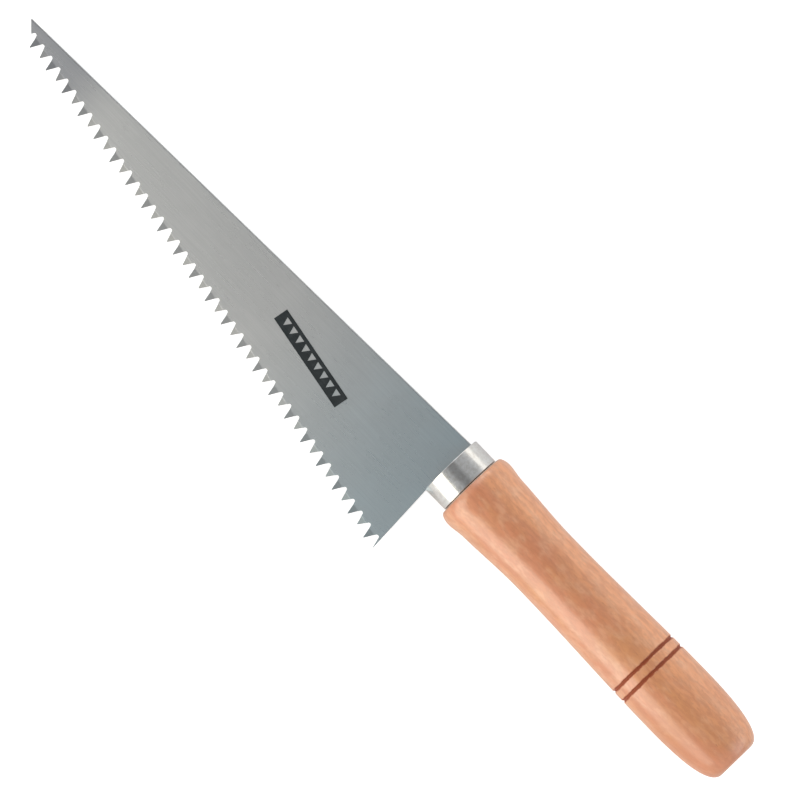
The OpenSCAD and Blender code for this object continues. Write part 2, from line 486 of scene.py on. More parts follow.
def edge_wear_group() -> bpy.types.NodeTree:
    """Broken-up wear along an edge, from a mask that is 1 on the edge.

    Returns:
        A group whose output is the mask of the worn places.
    """
    w = GroupWiring("edge_wear", {"Edge": 0.0, "Amount": 0.7}, ("Worn",))
    patches = w.span(w.noise(w.given["Vector"], 0.8, 3.0, 0.6), 0.3, 0.62)
    worn = w.times(w.given["Edge"], w.times_plus(patches, 0.6, 0.4))
    return w.put_out(worn=w.times(worn, w.given["Amount"]))


@dataclass
class Effects:
    """The shader node groups that more than one finish uses, each built once."""

    brushed: bpy.types.NodeTree = field(default_factory=brushed_group)
    scratches: bpy.types.NodeTree = field(default_factory=scratch_group)
    smudges: bpy.types.NodeTree = field(default_factory=smudge_group)
    edge_wear: bpy.types.NodeTree = field(default_factory=edge_wear_group)


# --- finishes ---


class MaterialWiring(Wiring):
    """A material with a Principled BSDF, and the saw's own coordinates in millimetres."""

    def __init__(self, name: str, lie: Lie) -> None:
        """Makes the material and its coordinates.

        Args:
            name: Name of the material.
            lie: How the saw lies.
        """
        self.material = bpy.data.materials.new(name)
        self.material.use_nodes = True
        super().__init__(self.material.node_tree)
        self.shader = self.tree.nodes["Principled BSDF"]
        inputs = {
            "Vector": self.node("ShaderNodeTexCoord").outputs["Object"],
            "Location": lie.matrix.to_translation(),
            "Rotation": lie.matrix.to_euler(),
            "Scale": (MM, MM, MM),
        }
        self.place = self.node("ShaderNodeMapping", inputs, vector_type="TEXTURE").outputs["Vector"]

    def group(self, tree: bpy.types.NodeTree, **inputs: Any) -> bpy.types.bpy_prop_collection:
        """Places a node group, which reads the saw's own coordinates unless it is given others.

        Args:
            tree: The group.
            **inputs: Values or outputs for its inputs; their names are in lower case.

        Returns:
            The group's outputs.
        """
        made = self.node("ShaderNodeGroup", node_tree=tree)
        for key, value in {"vector": self.place, **inputs}.items():
            self.feed(made.inputs[key.capitalize()], value)
        return made.outputs

    def worn_edge(self, effects: Effects, amount: float) -> Socket:
        """The mask of the places where the piece's own marked edges are worn."""
        edge = self.node("ShaderNodeAttribute", attribute_name=EDGE).outputs["Fac"]
        return self.group(effects.edge_wear, edge=edge, amount=amount)["Worn"]

    def bump(self, height: Any, distance: float, strength: float = 1.0) -> None:
        """Raises the surface by a height pattern.

        Args:
            height: The pattern.
            distance: How far the surface rises where the pattern is 1, in metres.
            strength: How much of the pattern shows.
        """
        made = self.node("ShaderNodeBump", {"Height": height, "Distance": distance, "Strength": strength})
        self.feed(self.shader.inputs["Normal"], made.outputs["Normal"])

    def set(self, **values: Any) -> None:
        """Sets or feeds sockets of the shader; names are given with underscores for spaces."""
        for key, value in values.items():
            self.feed(self.shader.inputs[key.replace("_", " ")], value)


@dataclass(frozen=True)
class Pattern:
    """A noise pattern, stretched along the saw's own axes.

    Attributes:
        fineness: How fine it is along each axis, per millimetre.
        detail: How many finer layers it has.
        roughness: How strong the finer layers are.
        shift: How far it is moved, in millimetres, so that no two patterns line up.
    """

    fineness: tuple[float, float, float]
    detail: float = 2.0
    roughness: float = 0.5
    shift: tuple[float, float, float] = (0.0, 0.0, 0.0)

    def value(self, w: MaterialWiring) -> Socket:
        """Adds the pattern to a material and returns its value, from 0 to 1."""
        place = w.shift(w.place, self.shift)
        return w.noise(w.stretch(place, self.fineness), 1.0, self.detail, self.roughness)


@dataclass(frozen=True)
class Brushing:
    """The fine lines that a belt or a brush leaves.

    Attributes:
        fineness: How fine the lines are across their run, per millimetre.
        run: How fine they are along it, per millimetre.
    """

    fineness: float
    run: float

    def lines(self, w: MaterialWiring, effects: Effects, vector: Any = None) -> bpy.types.bpy_prop_collection:
        """Adds the lines to a material.

        Args:
            w: The material.
            effects: The shared node groups.
            vector: Coordinates whose X the lines run along; the saw's own where none are given.

        Returns:
            The outputs of the group of brushed lines.
        """
        place = w.place if vector is None else vector
        return w.group(effects.brushed, vector=place, fineness=self.fineness, run=self.run)


BLADE_BRUSHING = Brushing(6.5, 0.07)


@dataclass(frozen=True)
class BrushedSteel:
    """The blade's finish: cold-rolled strip, brushed along the saw.

    Attributes:
        name: Name of the material.
        light: Colour of the lines' crests.
        dark: Colour of the lines' hollows.
        worn: Colour where an edge is rubbed bright.
        dust: Colour of specks of dust.
        tooth: Colour of the teeth, which setting has left matt.
        roughness: Mean roughness of the plate.
        tooth_roughness: Mean roughness of the set teeth.
        tooth_scale: How much of a tooth's metal the dull scale of hardening hides.
        heel_painted_shade: Colour of the painted shade and painted bluish reflection that darken the blade
            towards its heel.
        heel_shade_span: Where the painted shade starts and is full, in millimetres along the saw.
        point_darkening: Colour that darkens the blade and tints it blue towards its point.
        point_darkening_span: Where the darkening starts and is full, in millimetres along the saw.
        wave_fineness: How fine the strip's rolling waves are, per millimetre.
        wave_height: How high the waves are, as a multiple of the brushed lines.
        relief: Depth of the brushed lines.
    """

    name: str = "brushed_blade_steel"
    light: Colour = (0.427, 0.431, 0.447, 1.0)
    dark: Colour = (0.362, 0.368, 0.384, 1.0)
    worn: Colour = (0.60, 0.60, 0.59, 1.0)
    dust: Colour = (0.30, 0.29, 0.28, 1.0)
    tooth: Colour = (0.345, 0.345, 0.34, 1.0)
    roughness: float = 0.30
    tooth_roughness: float = 0.68
    tooth_scale: float = 0.62
    heel_painted_shade: Colour = (0.69, 0.835, 0.91, 1.0)
    heel_shade_span: tuple[float, float] = (-84.0, -3.0)
    point_darkening: Colour = (0.68, 0.69, 0.73, 1.0)
    point_darkening_span: tuple[float, float] = (-152.0, -174.0)
    wave_fineness: float = 0.035
    wave_height: float = 6.0
    relief: float = 0.005 * MM

    def material(self, lie: Lie, effects: Effects) -> bpy.types.Material:
        """Builds the material.

        Args:
            lie: How the saw lies.
            effects: The shared node groups.

        Returns:
            The material.
        """
        w = MaterialWiring(self.name, lie)
        along, _, _ = w.parts(w.place)
        lines = BLADE_BRUSHING.lines(w, effects)
        hair_lines = w.group(effects.scratches, density=0.4)["Mask"]
        hands = w.group(effects.smudges, scale=0.06, amount=0.5)
        worn = w.worn_edge(effects, 0.8)
        pressed = w.node("ShaderNodeAttribute", attribute_name=PRESSED).outputs["Fac"]

        colour = w.mix(lines["Tone"], self.dark, self.light)
        colour = w.mix(w.times(hair_lines, 0.08), colour, self.worn)
        colour = w.mix(w.times(hands["Speck"], 0.06), colour, self.dust)
        colour = w.mix(worn, colour, self.worn)
        colour = w.mix(w.times(pressed, 0.8), colour, self.tooth)
        # Painted shade and painted bluish reflection: the blade darkens and turns blue towards its heel,
        # broken up a little by the smudges.
        heel_shade = w.times(w.span(along, *self.heel_shade_span), w.times_plus(hands["Smudge"], 0.3, 0.8))
        colour = w.mix(heel_shade, colour, self.heel_painted_shade, "MULTIPLY")
        # The blade darkens and turns bluer towards its point.
        colour = w.mix(w.span(along, *self.point_darkening_span), colour, self.point_darkening, "MULTIPLY")

        rough = w.times_plus(lines["Tone"], -0.08, self.roughness + 0.04)
        rough = w.times_plus(hands["Smudge"], 0.07, rough)
        rough = w.times_plus(worn, -0.12, rough)
        rough = w.times_plus(pressed, self.tooth_roughness - self.roughness, rough)

        waves = w.noise(w.place, self.wave_fineness, 1.0)
        w.bump(w.times_plus(waves, self.wave_height, lines["Height"]), self.relief)
        w.set(Base_Color=colour, Roughness=rough, Metallic=w.times_plus(pressed, -self.tooth_scale, 1.0))
        return w.material


@dataclass(frozen=True)
class CutSteel:
    """The blade's cut edges and gullets: ground square to the plate, with lines through its thickness.

    Attributes:
        name: Name of the material.
        light: Colour of the ground crests.
        dark: Colour of the ground hollows.
        worn: Colour where an edge is rubbed bright.
        roughness: Mean roughness.
        grinding: The ground lines.
        relief: Depth of the ground lines.
    """

    name: str = "ground_tooth_steel"
    light: Colour = (0.56, 0.56, 0.555, 1.0)
    dark: Colour = (0.36, 0.36, 0.36, 1.0)
    worn: Colour = (0.70, 0.70, 0.69, 1.0)
    roughness: float = 0.42
    grinding: Brushing = Brushing(11.0, 0.5)
    relief: float = 0.012 * MM

    def material(self, lie: Lie, effects: Effects) -> bpy.types.Material:
        """Builds the material.

        Args:
            lie: How the saw lies.
            effects: The shared node groups.

        Returns:
            The material.
        """
        w = MaterialWiring(self.name, lie)
        inputs = {"Vector": w.place, "Angle": math.pi / 2}
        through = w.node("ShaderNodeVectorRotate", inputs, rotation_type="Y_AXIS").outputs[0]
        lines = self.grinding.lines(w, effects, through)
        colour = w.mix(lines["Tone"], self.dark, self.light)
        colour = w.mix(w.worn_edge(effects, 0.6), colour, self.worn)
        rough = w.times_plus(lines["Tone"], -0.1, self.roughness)
        w.bump(lines["Height"], self.relief)
        w.set(Base_Color=colour, Roughness=rough, Metallic=1.0)
        return w.material


@dataclass(frozen=True)
class PolishedSteel:
    """The ferrule's finish: drawn tube, buffed as it turned, and lightly scuffed.

    Attributes:
        name: Name of the material.
        bright: Colour of the polished metal.
        dull: Colour where polishing has left it duller.
        worn: Colour of the rims, which are rubbed bright.
        roughness: Mean roughness.
        radius: Radius of the tube in millimetres, for lengths round it.
        buffing: The buffed lines.
        scuff_shift: How far the scratches are moved from the blade's.
        wave_fineness: How fine the waves in the wall are, per millimetre.
        wave_height: How high the waves are, as a multiple of the buffed lines.
        relief: Depth of the buffed lines.
    """

    name: str = "polished_ferrule_steel"
    bright: Colour = (0.695, 0.66, 0.622, 1.0)
    dull: Colour = (0.585, 0.555, 0.53, 1.0)
    worn: Colour = (0.88, 0.87, 0.86, 1.0)
    roughness: float = 0.19
    radius: float = 10.0
    buffing: Brushing = Brushing(8.0, 0.06)
    scuff_shift: tuple[float, float, float] = (7.0, 2.0, 5.0)
    wave_fineness: float = 0.22
    wave_height: float = 2.5
    relief: float = 0.008 * MM

    def material(self, lie: Lie, effects: Effects) -> bpy.types.Material:
        """Builds the material.

        Args:
            lie: How the saw lies.
            effects: The shared node groups.

        Returns:
            The material.
        """
        w = MaterialWiring(self.name, lie)
        along, across, up = w.parts(w.place)
        round_it = w.times(w.math("ARCTAN2", up, across), self.radius)
        lines = self.buffing.lines(w, effects, w.joined(round_it, along))
        scuffs = w.group(effects.scratches, vector=w.shift(w.place, self.scuff_shift), density=0.7)["Mask"]
        hands = w.group(effects.smudges, scale=0.2, amount=0.7)
        worn = w.worn_edge(effects, 0.8)

        colour = w.mix(w.times_plus(hands["Smudge"], 0.6, 0.15), self.bright, self.dull)
        colour = w.mix(w.times(scuffs, 0.4), colour, self.dull)
        colour = w.mix(worn, colour, self.worn)

        rough = w.times_plus(lines["Tone"], 0.05, self.roughness - 0.02)
        rough = w.times_plus(hands["Smudge"], 0.10, rough)
        rough = w.times_plus(worn, -0.04, rough)

        waves = w.noise(w.place, self.wave_fineness, 1.0)
        height = w.times_plus(waves, self.wave_height, lines["Height"])
        w.bump(w.times_plus(scuffs, -0.8, height), self.relief)
        w.set(Base_Color=colour, Roughness=rough, Metallic=1.0)
        return w.material


@dataclass(frozen=True)
class LacqueredWood:
    """The handle's finish: pale straight-grained hardwood under satin lacquer, with burnt grooves.

    Attributes:
        name: Name of the material.
        rosy: Colour of the rosier patches.
        sandy: Colour of the yellower patches.
        sapwood_and_painted_light: Colour of the paler band on the side of the blade's back, partly pale wood
            and partly painted light on that side.
        pale: Colour of small pale blotches.
        late: Colour of the late wood in a growth ring.
        pore: Colour of the pores and flecks.
        char: Colour of the wood where it is burnt.
        gap_painted_shade: Colour of the painted shade on the wood beside the gap behind the ferrule.
        rubbed: Colour of the rims, where the lacquer is rubbed thin.
        pith: Place of the tree's middle, across and up from the axis, in millimetres.
        ring: Distance from growth ring to growth ring, in millimetres.
        drift: How the rings and the paler band's border wander.
        fibre: The fibres along the grain.
        fleck: The pores and flecks.
        cloud: The rosier and yellower patches.
        blotch: The small pale blotches.
        curl: The small dark clouds of curly grain.
        sapwood_and_light_border: Where the paler band starts and is full, across the handle in millimetres.
        burn_half_width: Half width of a burnt band, where it is darkest and where it ends, in millimetres.
        palm_wear_and_shade_reach: Where the worn lacquer of the hand's grip and the painted shade on the butt
            start and are full, in millimetres from the butt.
        roughness: Roughness of the lacquer's under-surface.
        coat: How much lacquer there is.
        coat_roughness: Roughness of the lacquer.
        coat_index: Refractive index of the lacquer.
        wood_index: Refractive index of the wood.
        relief: Depth of the grain under the lacquer.
    """

    name: str = "lacquered_hardwood"
    rosy: Colour = (0.71, 0.268, 0.130, 1.0)
    sandy: Colour = (0.73, 0.315, 0.134, 1.0)
    sapwood_and_painted_light: Colour = (0.94, 0.405, 0.185, 1.0)
    pale: Colour = (0.82, 0.45, 0.27, 1.0)
    late: Colour = (0.54, 0.195, 0.092, 1.0)
    pore: Colour = (0.30, 0.120, 0.060, 1.0)
    char: Colour = (0.30, 0.046, 0.006, 1.0)
    gap_painted_shade: Colour = (0.035, 0.022, 0.014, 1.0)
    rubbed: Colour = (0.84, 0.52, 0.34, 1.0)
    pith: tuple[float, float] = (-34.0, 47.0)
    ring: float = 2.6
    drift: Pattern = Pattern((0.02, 0.05, 0.05))
    fibre: Pattern = Pattern((0.12, 3.2, 3.2), 3.0, 0.6)
    fleck: Pattern = Pattern((0.45, 5.5, 5.5), 1.0)
    cloud: Pattern = Pattern((0.05, 0.13, 0.13), 3.0, 0.55)
    blotch: Pattern = Pattern((0.16, 0.3, 0.3), 2.0, 0.6, (31.0, 7.0, 3.0))
    curl: Pattern = Pattern((0.36, 0.95, 0.95), 2.0, 0.6, (5.0, 23.0, 11.0))
    sapwood_and_light_border: tuple[float, float] = (4.6, 9.6)
    burn_half_width: tuple[float, float] = (0.42, 0.82)
    palm_wear_and_shade_reach: tuple[float, float] = (40.0, 12.0)
    roughness: float = 0.37
    coat: float = 0.75
    coat_roughness: float = 0.2
    coat_index: float = 1.7
    wood_index: float = 1.5
    relief: float = 0.02 * MM

    def late_wood(self, w: MaterialWiring, drift: Socket) -> Socket:
        """The mask of the dark late wood, which grows towards the outside of each ring.

        Args:
            w: The material.
            drift: How the rings wander, from 0 to 1.

        Returns:
            The mask, 1 where the late wood is darkest.
        """
        _, across, up = w.parts(w.place)
        aside = w.math("POWER", w.minus(across, self.pith[0]), 2.0)
        above = w.math("POWER", w.minus(up, self.pith[1]), 2.0)
        from_pith = w.math("SQRT", w.plus(aside, above))
        part = w.math("FRACT", w.over(w.times_plus(drift, 9.0, from_pith), self.ring))
        return w.times(w.span(part, 0.25, 0.9), w.span(part, 0.92, 1.0, 1.0, 0.0))

    def figure(self, w: MaterialWiring) -> tuple[Socket, Socket]:
        """The wood's own colour and relief, before it is burnt or lacquered.

        Args:
            w: The material.

        Returns:
            The colour, and the height of its fibres and pores from 0 to 1.
        """
        _, across, _ = w.parts(w.place)
        drift, fibre = self.drift.value(w), self.fibre.value(w)
        fleck = w.span(self.fleck.value(w), 0.66, 0.74)
        border = w.times_plus(w.minus(drift, 0.5), 6.0, across)
        colour = w.mix(w.span(self.cloud.value(w), 0.36, 0.64), self.rosy, self.sandy)
        # Partly painted light: the band on the side of the blade's back is pale wood, made paler still to
        # stand for the light on that side.
        colour = w.mix(w.span(border, *self.sapwood_and_light_border, 0.0, 0.9), colour, self.sapwood_and_painted_light)
        colour = w.mix(w.times(self.late_wood(w, drift), 0.24), colour, self.late)
        colour = w.mix(w.span(fibre, 0.52, 0.8, 0.0, 0.34), colour, self.late)
        colour = w.mix(w.span(self.blotch.value(w), 0.44, 0.68, 0.0, 0.42), colour, self.pale)
        colour = w.mix(w.span(self.curl.value(w), 0.38, 0.60, 0.34, 0.0), colour, self.late)
        colour = w.mix(w.times(fleck, 0.34), colour, self.pore)
        return colour, w.times_plus(fleck, -0.5, w.times(fibre, 0.6))

    def burn(self, w: MaterialWiring, grooves: list[float]) -> Socket:
        """The mask of the burnt bands.

        Args:
            w: The material.
            grooves: The middle of each groove along the handle, in millimetres.

        Returns:
            The mask, 1 where the wood is darkest.
        """
        along, _, _ = w.parts(w.place)
        ragged = w.times(w.minus(w.noise(w.place, 0.55, 4.0, 0.65), 0.5), 1.1)
        total: Any = 0.0
        for middle in grooves:
            away = w.math("ABSOLUTE", w.minus(along, middle))
            band = w.span(w.plus(away, ragged), *self.burn_half_width, 1.0, 0.0)
            total = w.math("MAXIMUM", total, band)
        return total

    def palm_wear_and_shade(self, w: MaterialWiring, length: float) -> Socket:
        """The mask of the lacquer worn by the hand's grip and of painted shade, darkest on the teeth's side
        of the butt.

        Args:
            w: The material.
            length: Length of the handle, in millimetres.

        Returns:
            The mask.
        """
        along, across, _ = w.parts(w.place)
        start, full = (length - reach for reach in self.palm_wear_and_shade_reach)
        return w.times(w.span(along, start, full), w.span(across, 5.0, -6.5, 0.16, 0.46))

    def material(self, lie: Lie, effects: Effects, grooves: list[float], length: float) -> bpy.types.Material:
        """Builds the material.

        Args:
            lie: How the saw lies.
            effects: The shared node groups.
            grooves: The middle of each burnt groove along the handle, in millimetres.
            length: Length of the handle, in millimetres.

        Returns:
            The material.
        """
        w = MaterialWiring(self.name, lie)
        along, _, _ = w.parts(w.place)
        colour, height = self.figure(w)
        end_grain = w.math("MAXIMUM", w.span(along, length - 2.5, length), w.span(along, 0.9, -0.2))
        hands = w.group(effects.smudges, scale=0.07, amount=0.6)
        scratches = w.group(effects.scratches, density=0.5)["Mask"]
        burnt, palm_wear_and_shade = self.burn(w, grooves), self.palm_wear_and_shade(w, length)
        from_gap = w.math("ABSOLUTE", w.plus(along, 0.1))
        tool_lines = w.math("SINE", w.times(along, 9.0))

        colour = w.mix(w.times(end_grain, 0.35), colour, self.late)
        colour = w.mix(w.times(hands["Smudge"], 0.2), colour, self.late)
        colour = w.mix(w.times(hands["Speck"], 0.5), colour, self.pore)
        colour = w.mix(w.times(burnt, 0.94), colour, self.char)
        # Painted shade on the butt, darkest on the teeth's side; the same mask thins the lacquer further
        # down.
        colour = w.mix(palm_wear_and_shade, colour, self.late)
        # Painted shade: a dark line on the wood beside the gap behind the ferrule.
        colour = w.mix(w.span(from_gap, 0.16, 0.42, 0.9, 0.0), colour, self.gap_painted_shade)
        colour = w.mix(w.worn_edge(effects, 0.5), colour, self.rubbed)

        rough = w.times_plus(burnt, 0.22, self.roughness)
        rough = w.times_plus(hands["Smudge"], 0.06, rough)
        coat = w.times_plus(burnt, -0.7, w.times_plus(palm_wear_and_shade, -0.9, self.coat))

        height = w.times_plus(tool_lines, 0.06, height)
        w.bump(w.times_plus(scratches, -0.5, height), self.relief, 0.6)
        w.set(Base_Color=colour, Roughness=rough, IOR=self.wood_index)
        w.set(Coat_Weight=coat, Coat_Roughness=self.coat_roughness, Coat_IOR=self.coat_index)
        return w.material


@dataclass(frozen=True)
class PrintInk:
    """The printed mark's finish: thin screen ink, near-black, slightly open over the brushing.

    Attributes:
        name: Name of the material.
        full: Colour of a full film of ink.
        thin: Colour where the film is thin.
        gloss: Specular level of the ink, which is duller than a common plastic.
        relief: Depth of the brushed lines that show through.
    """

    name: str = "screen_ink"
    full: Colour = (0.009, 0.013, 0.016, 1.0)
    thin: Colour = (0.042, 0.050, 0.055, 1.0)
    gloss: float = 0.2
    relief: float = 0.004 * MM

    def material(self, lie: Lie, effects: Effects) -> bpy.types.Material:
        """Builds the material.

        Args:
            lie: How the saw lies.
            effects: The shared node groups.

        Returns:
            The material.
        """
        w = MaterialWiring(self.name, lie)
        lines = BLADE_BRUSHING.lines(w, effects)
        hands = w.group(effects.smudges, scale=0.5, amount=1.0)
        colour = w.mix(w.times(lines["Tone"], 0.35), self.full, self.thin)
        colour = w.mix(w.times(hands["Smudge"], 0.35), colour, self.thin)
        rough = w.span(lines["Tone"], 0.0, 1.0, 0.5, 0.38)
        w.bump(lines["Height"], self.relief)
        w.set(Base_Color=colour, Roughness=rough, Specular_IOR_Level=self.gloss)
        return w.material


@dataclass(frozen=True)
class CuredResin:
    """The tang adhesive's finish: amber resin with small bubbles.

    Attributes:
        name: Name of the material.
        clear: Colour of clear resin.
        milky: Colour round bubbles.
        index: Refractive index of the resin.
        relief: How far a bubble's rim stands out.
    """

    name: str = "cured_resin"
    clear: Colour = (0.42, 0.27, 0.12, 1.0)
    milky: Colour = (0.62, 0.50, 0.32, 1.0)
    index: float = 1.54
    relief: float = 0.03 * MM

    def material(self, lie: Lie, effects: Effects) -> bpy.types.Material:
        """Builds the material.

        Args:
            lie: How the saw lies.
            effects: The shared node groups.

        Returns:
            The material.
        """
        w = MaterialWiring(self.name, lie)
        hands = w.group(effects.smudges, scale=0.6, amount=1.0)
        cells = w.node("ShaderNodeTexVoronoi", {"Vector": w.place, "Scale": 1.6}).outputs["Distance"]
        rim = w.span(cells, 0.05, 0.2, 1.0, 0.0)
        colour = w.mix(w.math("MAXIMUM", rim, hands["Smudge"]), self.clear, self.milky)
        w.bump(rim, self.relief)
        w.set(Base_Color=colour, Roughness=w.span(rim, 0.0, 1.0, 0.22, 0.45), IOR=self.index)
        return w.material


# --- geometry nodes ---


class GeometryTree(Wiring):
    """A Geometry Nodes tree with named inputs, which is run once on an object."""

    def __init__(self, name: str, inputs: dict[str, str]) -> None:
        """Makes the tree's sockets.

        Args:
            name: Name of the tree.
            inputs: Socket type of each input after the geometry, by name.
        """
        super().__init__(bpy.data.node_groups.new(name, "GeometryNodeTree"))
        face = self.tree.interface
        face.new_socket("Geometry", in_out="INPUT", socket_type="NodeSocketGeometry")
        for key, kind in inputs.items():
            face.new_socket(key, in_out="INPUT", socket_type=kind)
        face.new_socket("Geometry", in_out="OUTPUT", socket_type="NodeSocketGeometry")
        self.given = self.node("NodeGroupInput").outputs

    def step(self, kind: str, inputs: dict[str | int, Any] | None = None, **settings: Any) -> Socket:
        """Adds a geometry node, whose kind is given without its prefix, and returns its first output."""
        return self.node("GeometryNode" + kind, inputs, **settings).outputs[0]

    def joined_geometry(self, *pieces: Socket) -> Socket:
        """Joins geometries into one.

        Args:
            *pieces: The geometries.

        Returns:
            The joined geometry.
        """
        join = self.node("GeometryNodeJoinGeometry")
        for piece in pieces:
            self.feed(join.inputs[0], piece)
        return join.outputs[0]

    def end(self, geometry: Socket) -> None:
        """Ends the tree in Realize Instances and Set Material.

        Args:
            geometry: What the tree has made.
        """
        real = self.step("RealizeInstances", {"Geometry": geometry})
        dressed = self.step("SetMaterial", {"Geometry": real, "Material": self.given["Material"]})
        self.node("NodeGroupOutput", {0: dressed})

    def run(self, start: bpy.types.Mesh, values: dict[str, Any]) -> bpy.types.Mesh:
        """Runs the tree on a mesh.

        Args:
            start: The mesh that goes in.
            values: A value for each of the tree's inputs, by name.

        Returns:
            The plain mesh that comes out.
        """
        holder = new_object(self.tree.name + "_run", start)
        modifier = holder.modifiers.new("nodes", "NODES")
        modifier.node_group = self.tree
        for item in self.tree.interface.items_tree:
            if item.in_out == "INPUT" and item.name in values:
                modifier[item.identifier] = values[item.name]
        holder.update_tag()
        return run_modifiers(holder)


def turning_tree() -> GeometryTree:
    """A lathe: sweeps an outline of (place, radius) points round X and welds the seam and the poles.

    Returns:
        The tree, whose inputs are Segments, Weld and Material.
    """
    t = GeometryTree(
        "turning",
        {"Segments": "NodeSocketInt", "Weld": "NodeSocketFloat", "Material": "NodeSocketMaterial"},
    )
    outline, segments = t.given["Geometry"], t.given["Segments"]
    rows = t.step("AttributeDomainSize", {"Geometry": outline}, component="MESH")
    columns = t.plus(segments, 1.0)
    grid = t.step("MeshGrid", {"Vertices X": rows, "Vertices Y": columns})
    index = t.step("InputIndex")
    row = t.math("FLOOR", t.over(index, columns))
    column = t.math("MODULO", index, columns)
    sampled = t.node("GeometryNodeSampleIndex", data_type="FLOAT_VECTOR", domain="POINT")
    for name, value in (("Geometry", outline), ("Value", t.step("InputPosition")), ("Index", row)):
        t.feed(sampled.inputs[name], value)
    along, radius, _ = t.parts(sampled.outputs["Value"])
    angle = t.times(t.over(column, segments), math.tau)
    ring = t.joined(along, t.times(radius, t.math("COSINE", angle)), t.times(radius, t.math("SINE", angle)))
    turned = t.step("SetPosition", {"Geometry": grid, "Position": ring})
    t.end(t.step("MergeByDistance", {"Geometry": turned, "Distance": t.given["Weld"]}))
    return t


def tooth_line_tree() -> GeometryTree:
    """Stands set teeth along a hollow tooth line with slowly widening gaps, and welds them to a plate.

    Returns:
        The tree, whose inputs are the teeth's count, spacing, hollow, line, prototypes and material.
    """
    t = GeometryTree(
        "tooth_line",
        {
            "Teeth": "NodeSocketInt",
            "First Gap": "NodeSocketFloat",
            "Gap Growth": "NodeSocketFloat",
            "Line Length": "NodeSocketFloat",
            "Hollow": "NodeSocketFloat",
            "First Tip": "NodeSocketVector",
            "Line Turn": "NodeSocketVector",
            "Tooth Up": "NodeSocketObject",
            "Tooth Down": "NodeSocketObject",
            "Weld": "NodeSocketFloat",
            "Material": "NodeSocketMaterial",
        },
    )
    given, index = t.given, t.step("InputIndex")
    gaps = t.minus(given["Teeth"], 1.0)
    pairs = t.times(index, t.minus(index, 1.0))
    growth = t.over(given["Gap Growth"], t.times(gaps, 2.0))
    along = t.times_plus(index, given["First Gap"], t.times(pairs, growth))
    share = t.over(along, given["Line Length"])
    rest = t.minus(1.0, share)
    bow = t.times(given["Hollow"], 4.0)
    inward = t.times(bow, t.times(share, rest))
    slope = t.times(t.over(bow, given["Line Length"]), t.minus(rest, share))
    turn = t.joined(z=t.math("ARCTANGENT", slope))
    points = t.step("Points", {"Count": given["Teeth"], "Position": t.joined(along, inward)})
    odd = t.math("MODULO", index, 2.0)
    rows = []
    for prototype, chosen in (("Tooth Up", t.minus(1.0, odd)), ("Tooth Down", odd)):
        tooth = t.node("GeometryNodeObjectInfo", {"Object": given[prototype]}).outputs["Geometry"]
        stood = {"Points": points, "Selection": chosen, "Instance": tooth, "Rotation": turn}
        rows.append(t.step("InstanceOnPoints", stood))
    lying = {"Translation": given["First Tip"], "Rotation": given["Line Turn"]}
    laid = t.step("Transform", {"Geometry": t.joined_geometry(*rows), **lying})
    whole = t.joined_geometry(given["Geometry"], t.step("RealizeInstances", {"Geometry": laid}))
    t.end(t.step("MergeByDistance", {"Geometry": whole, "Distance": given["Weld"]}))
    return t


# --- the blade ---


def crossing(a: Vector, u: Vector, b: Vector, v: Vector) -> Vector:
    """Where the line through a along u meets the line through b along v; both lie in a plane."""
    return a + u * ((b - a).cross(v) / u.cross(v))


@dataclass
class EdgePoint:
    """A point on the blade's outline.

    Attributes:
        spot: Its place in the blade's plane.
        soften: How far the edge that leaves it is softened.
        open_ahead: Whether a tooth stands on the line that leaves it, so that there is no edge.
    """

    spot: Vector
    soften: float
    open_ahead: bool = False

    @property
    def rounding(self) -> float:
        """How far the edge that leaves it is softened, 0 where there is no edge."""
        return 0.0 if self.open_ahead else self.soften


@dataclass(frozen=True)
class ToothRow:
    """A row of points round a set tooth.

    Attributes:
        inward: Distance of its middle from the tip, square to the tooth line.
        bent: How far its middle is bent out of the plate.
        lean: How far the tooth leans there, as an angle.
        depth: Distance of the row from the tip, before the tooth is bent.
        trim: How far its sides are drawn in, to soften the tip.
    """

    inward: float
    bent: float
    lean: float
    depth: float
    trim: float = 0.0


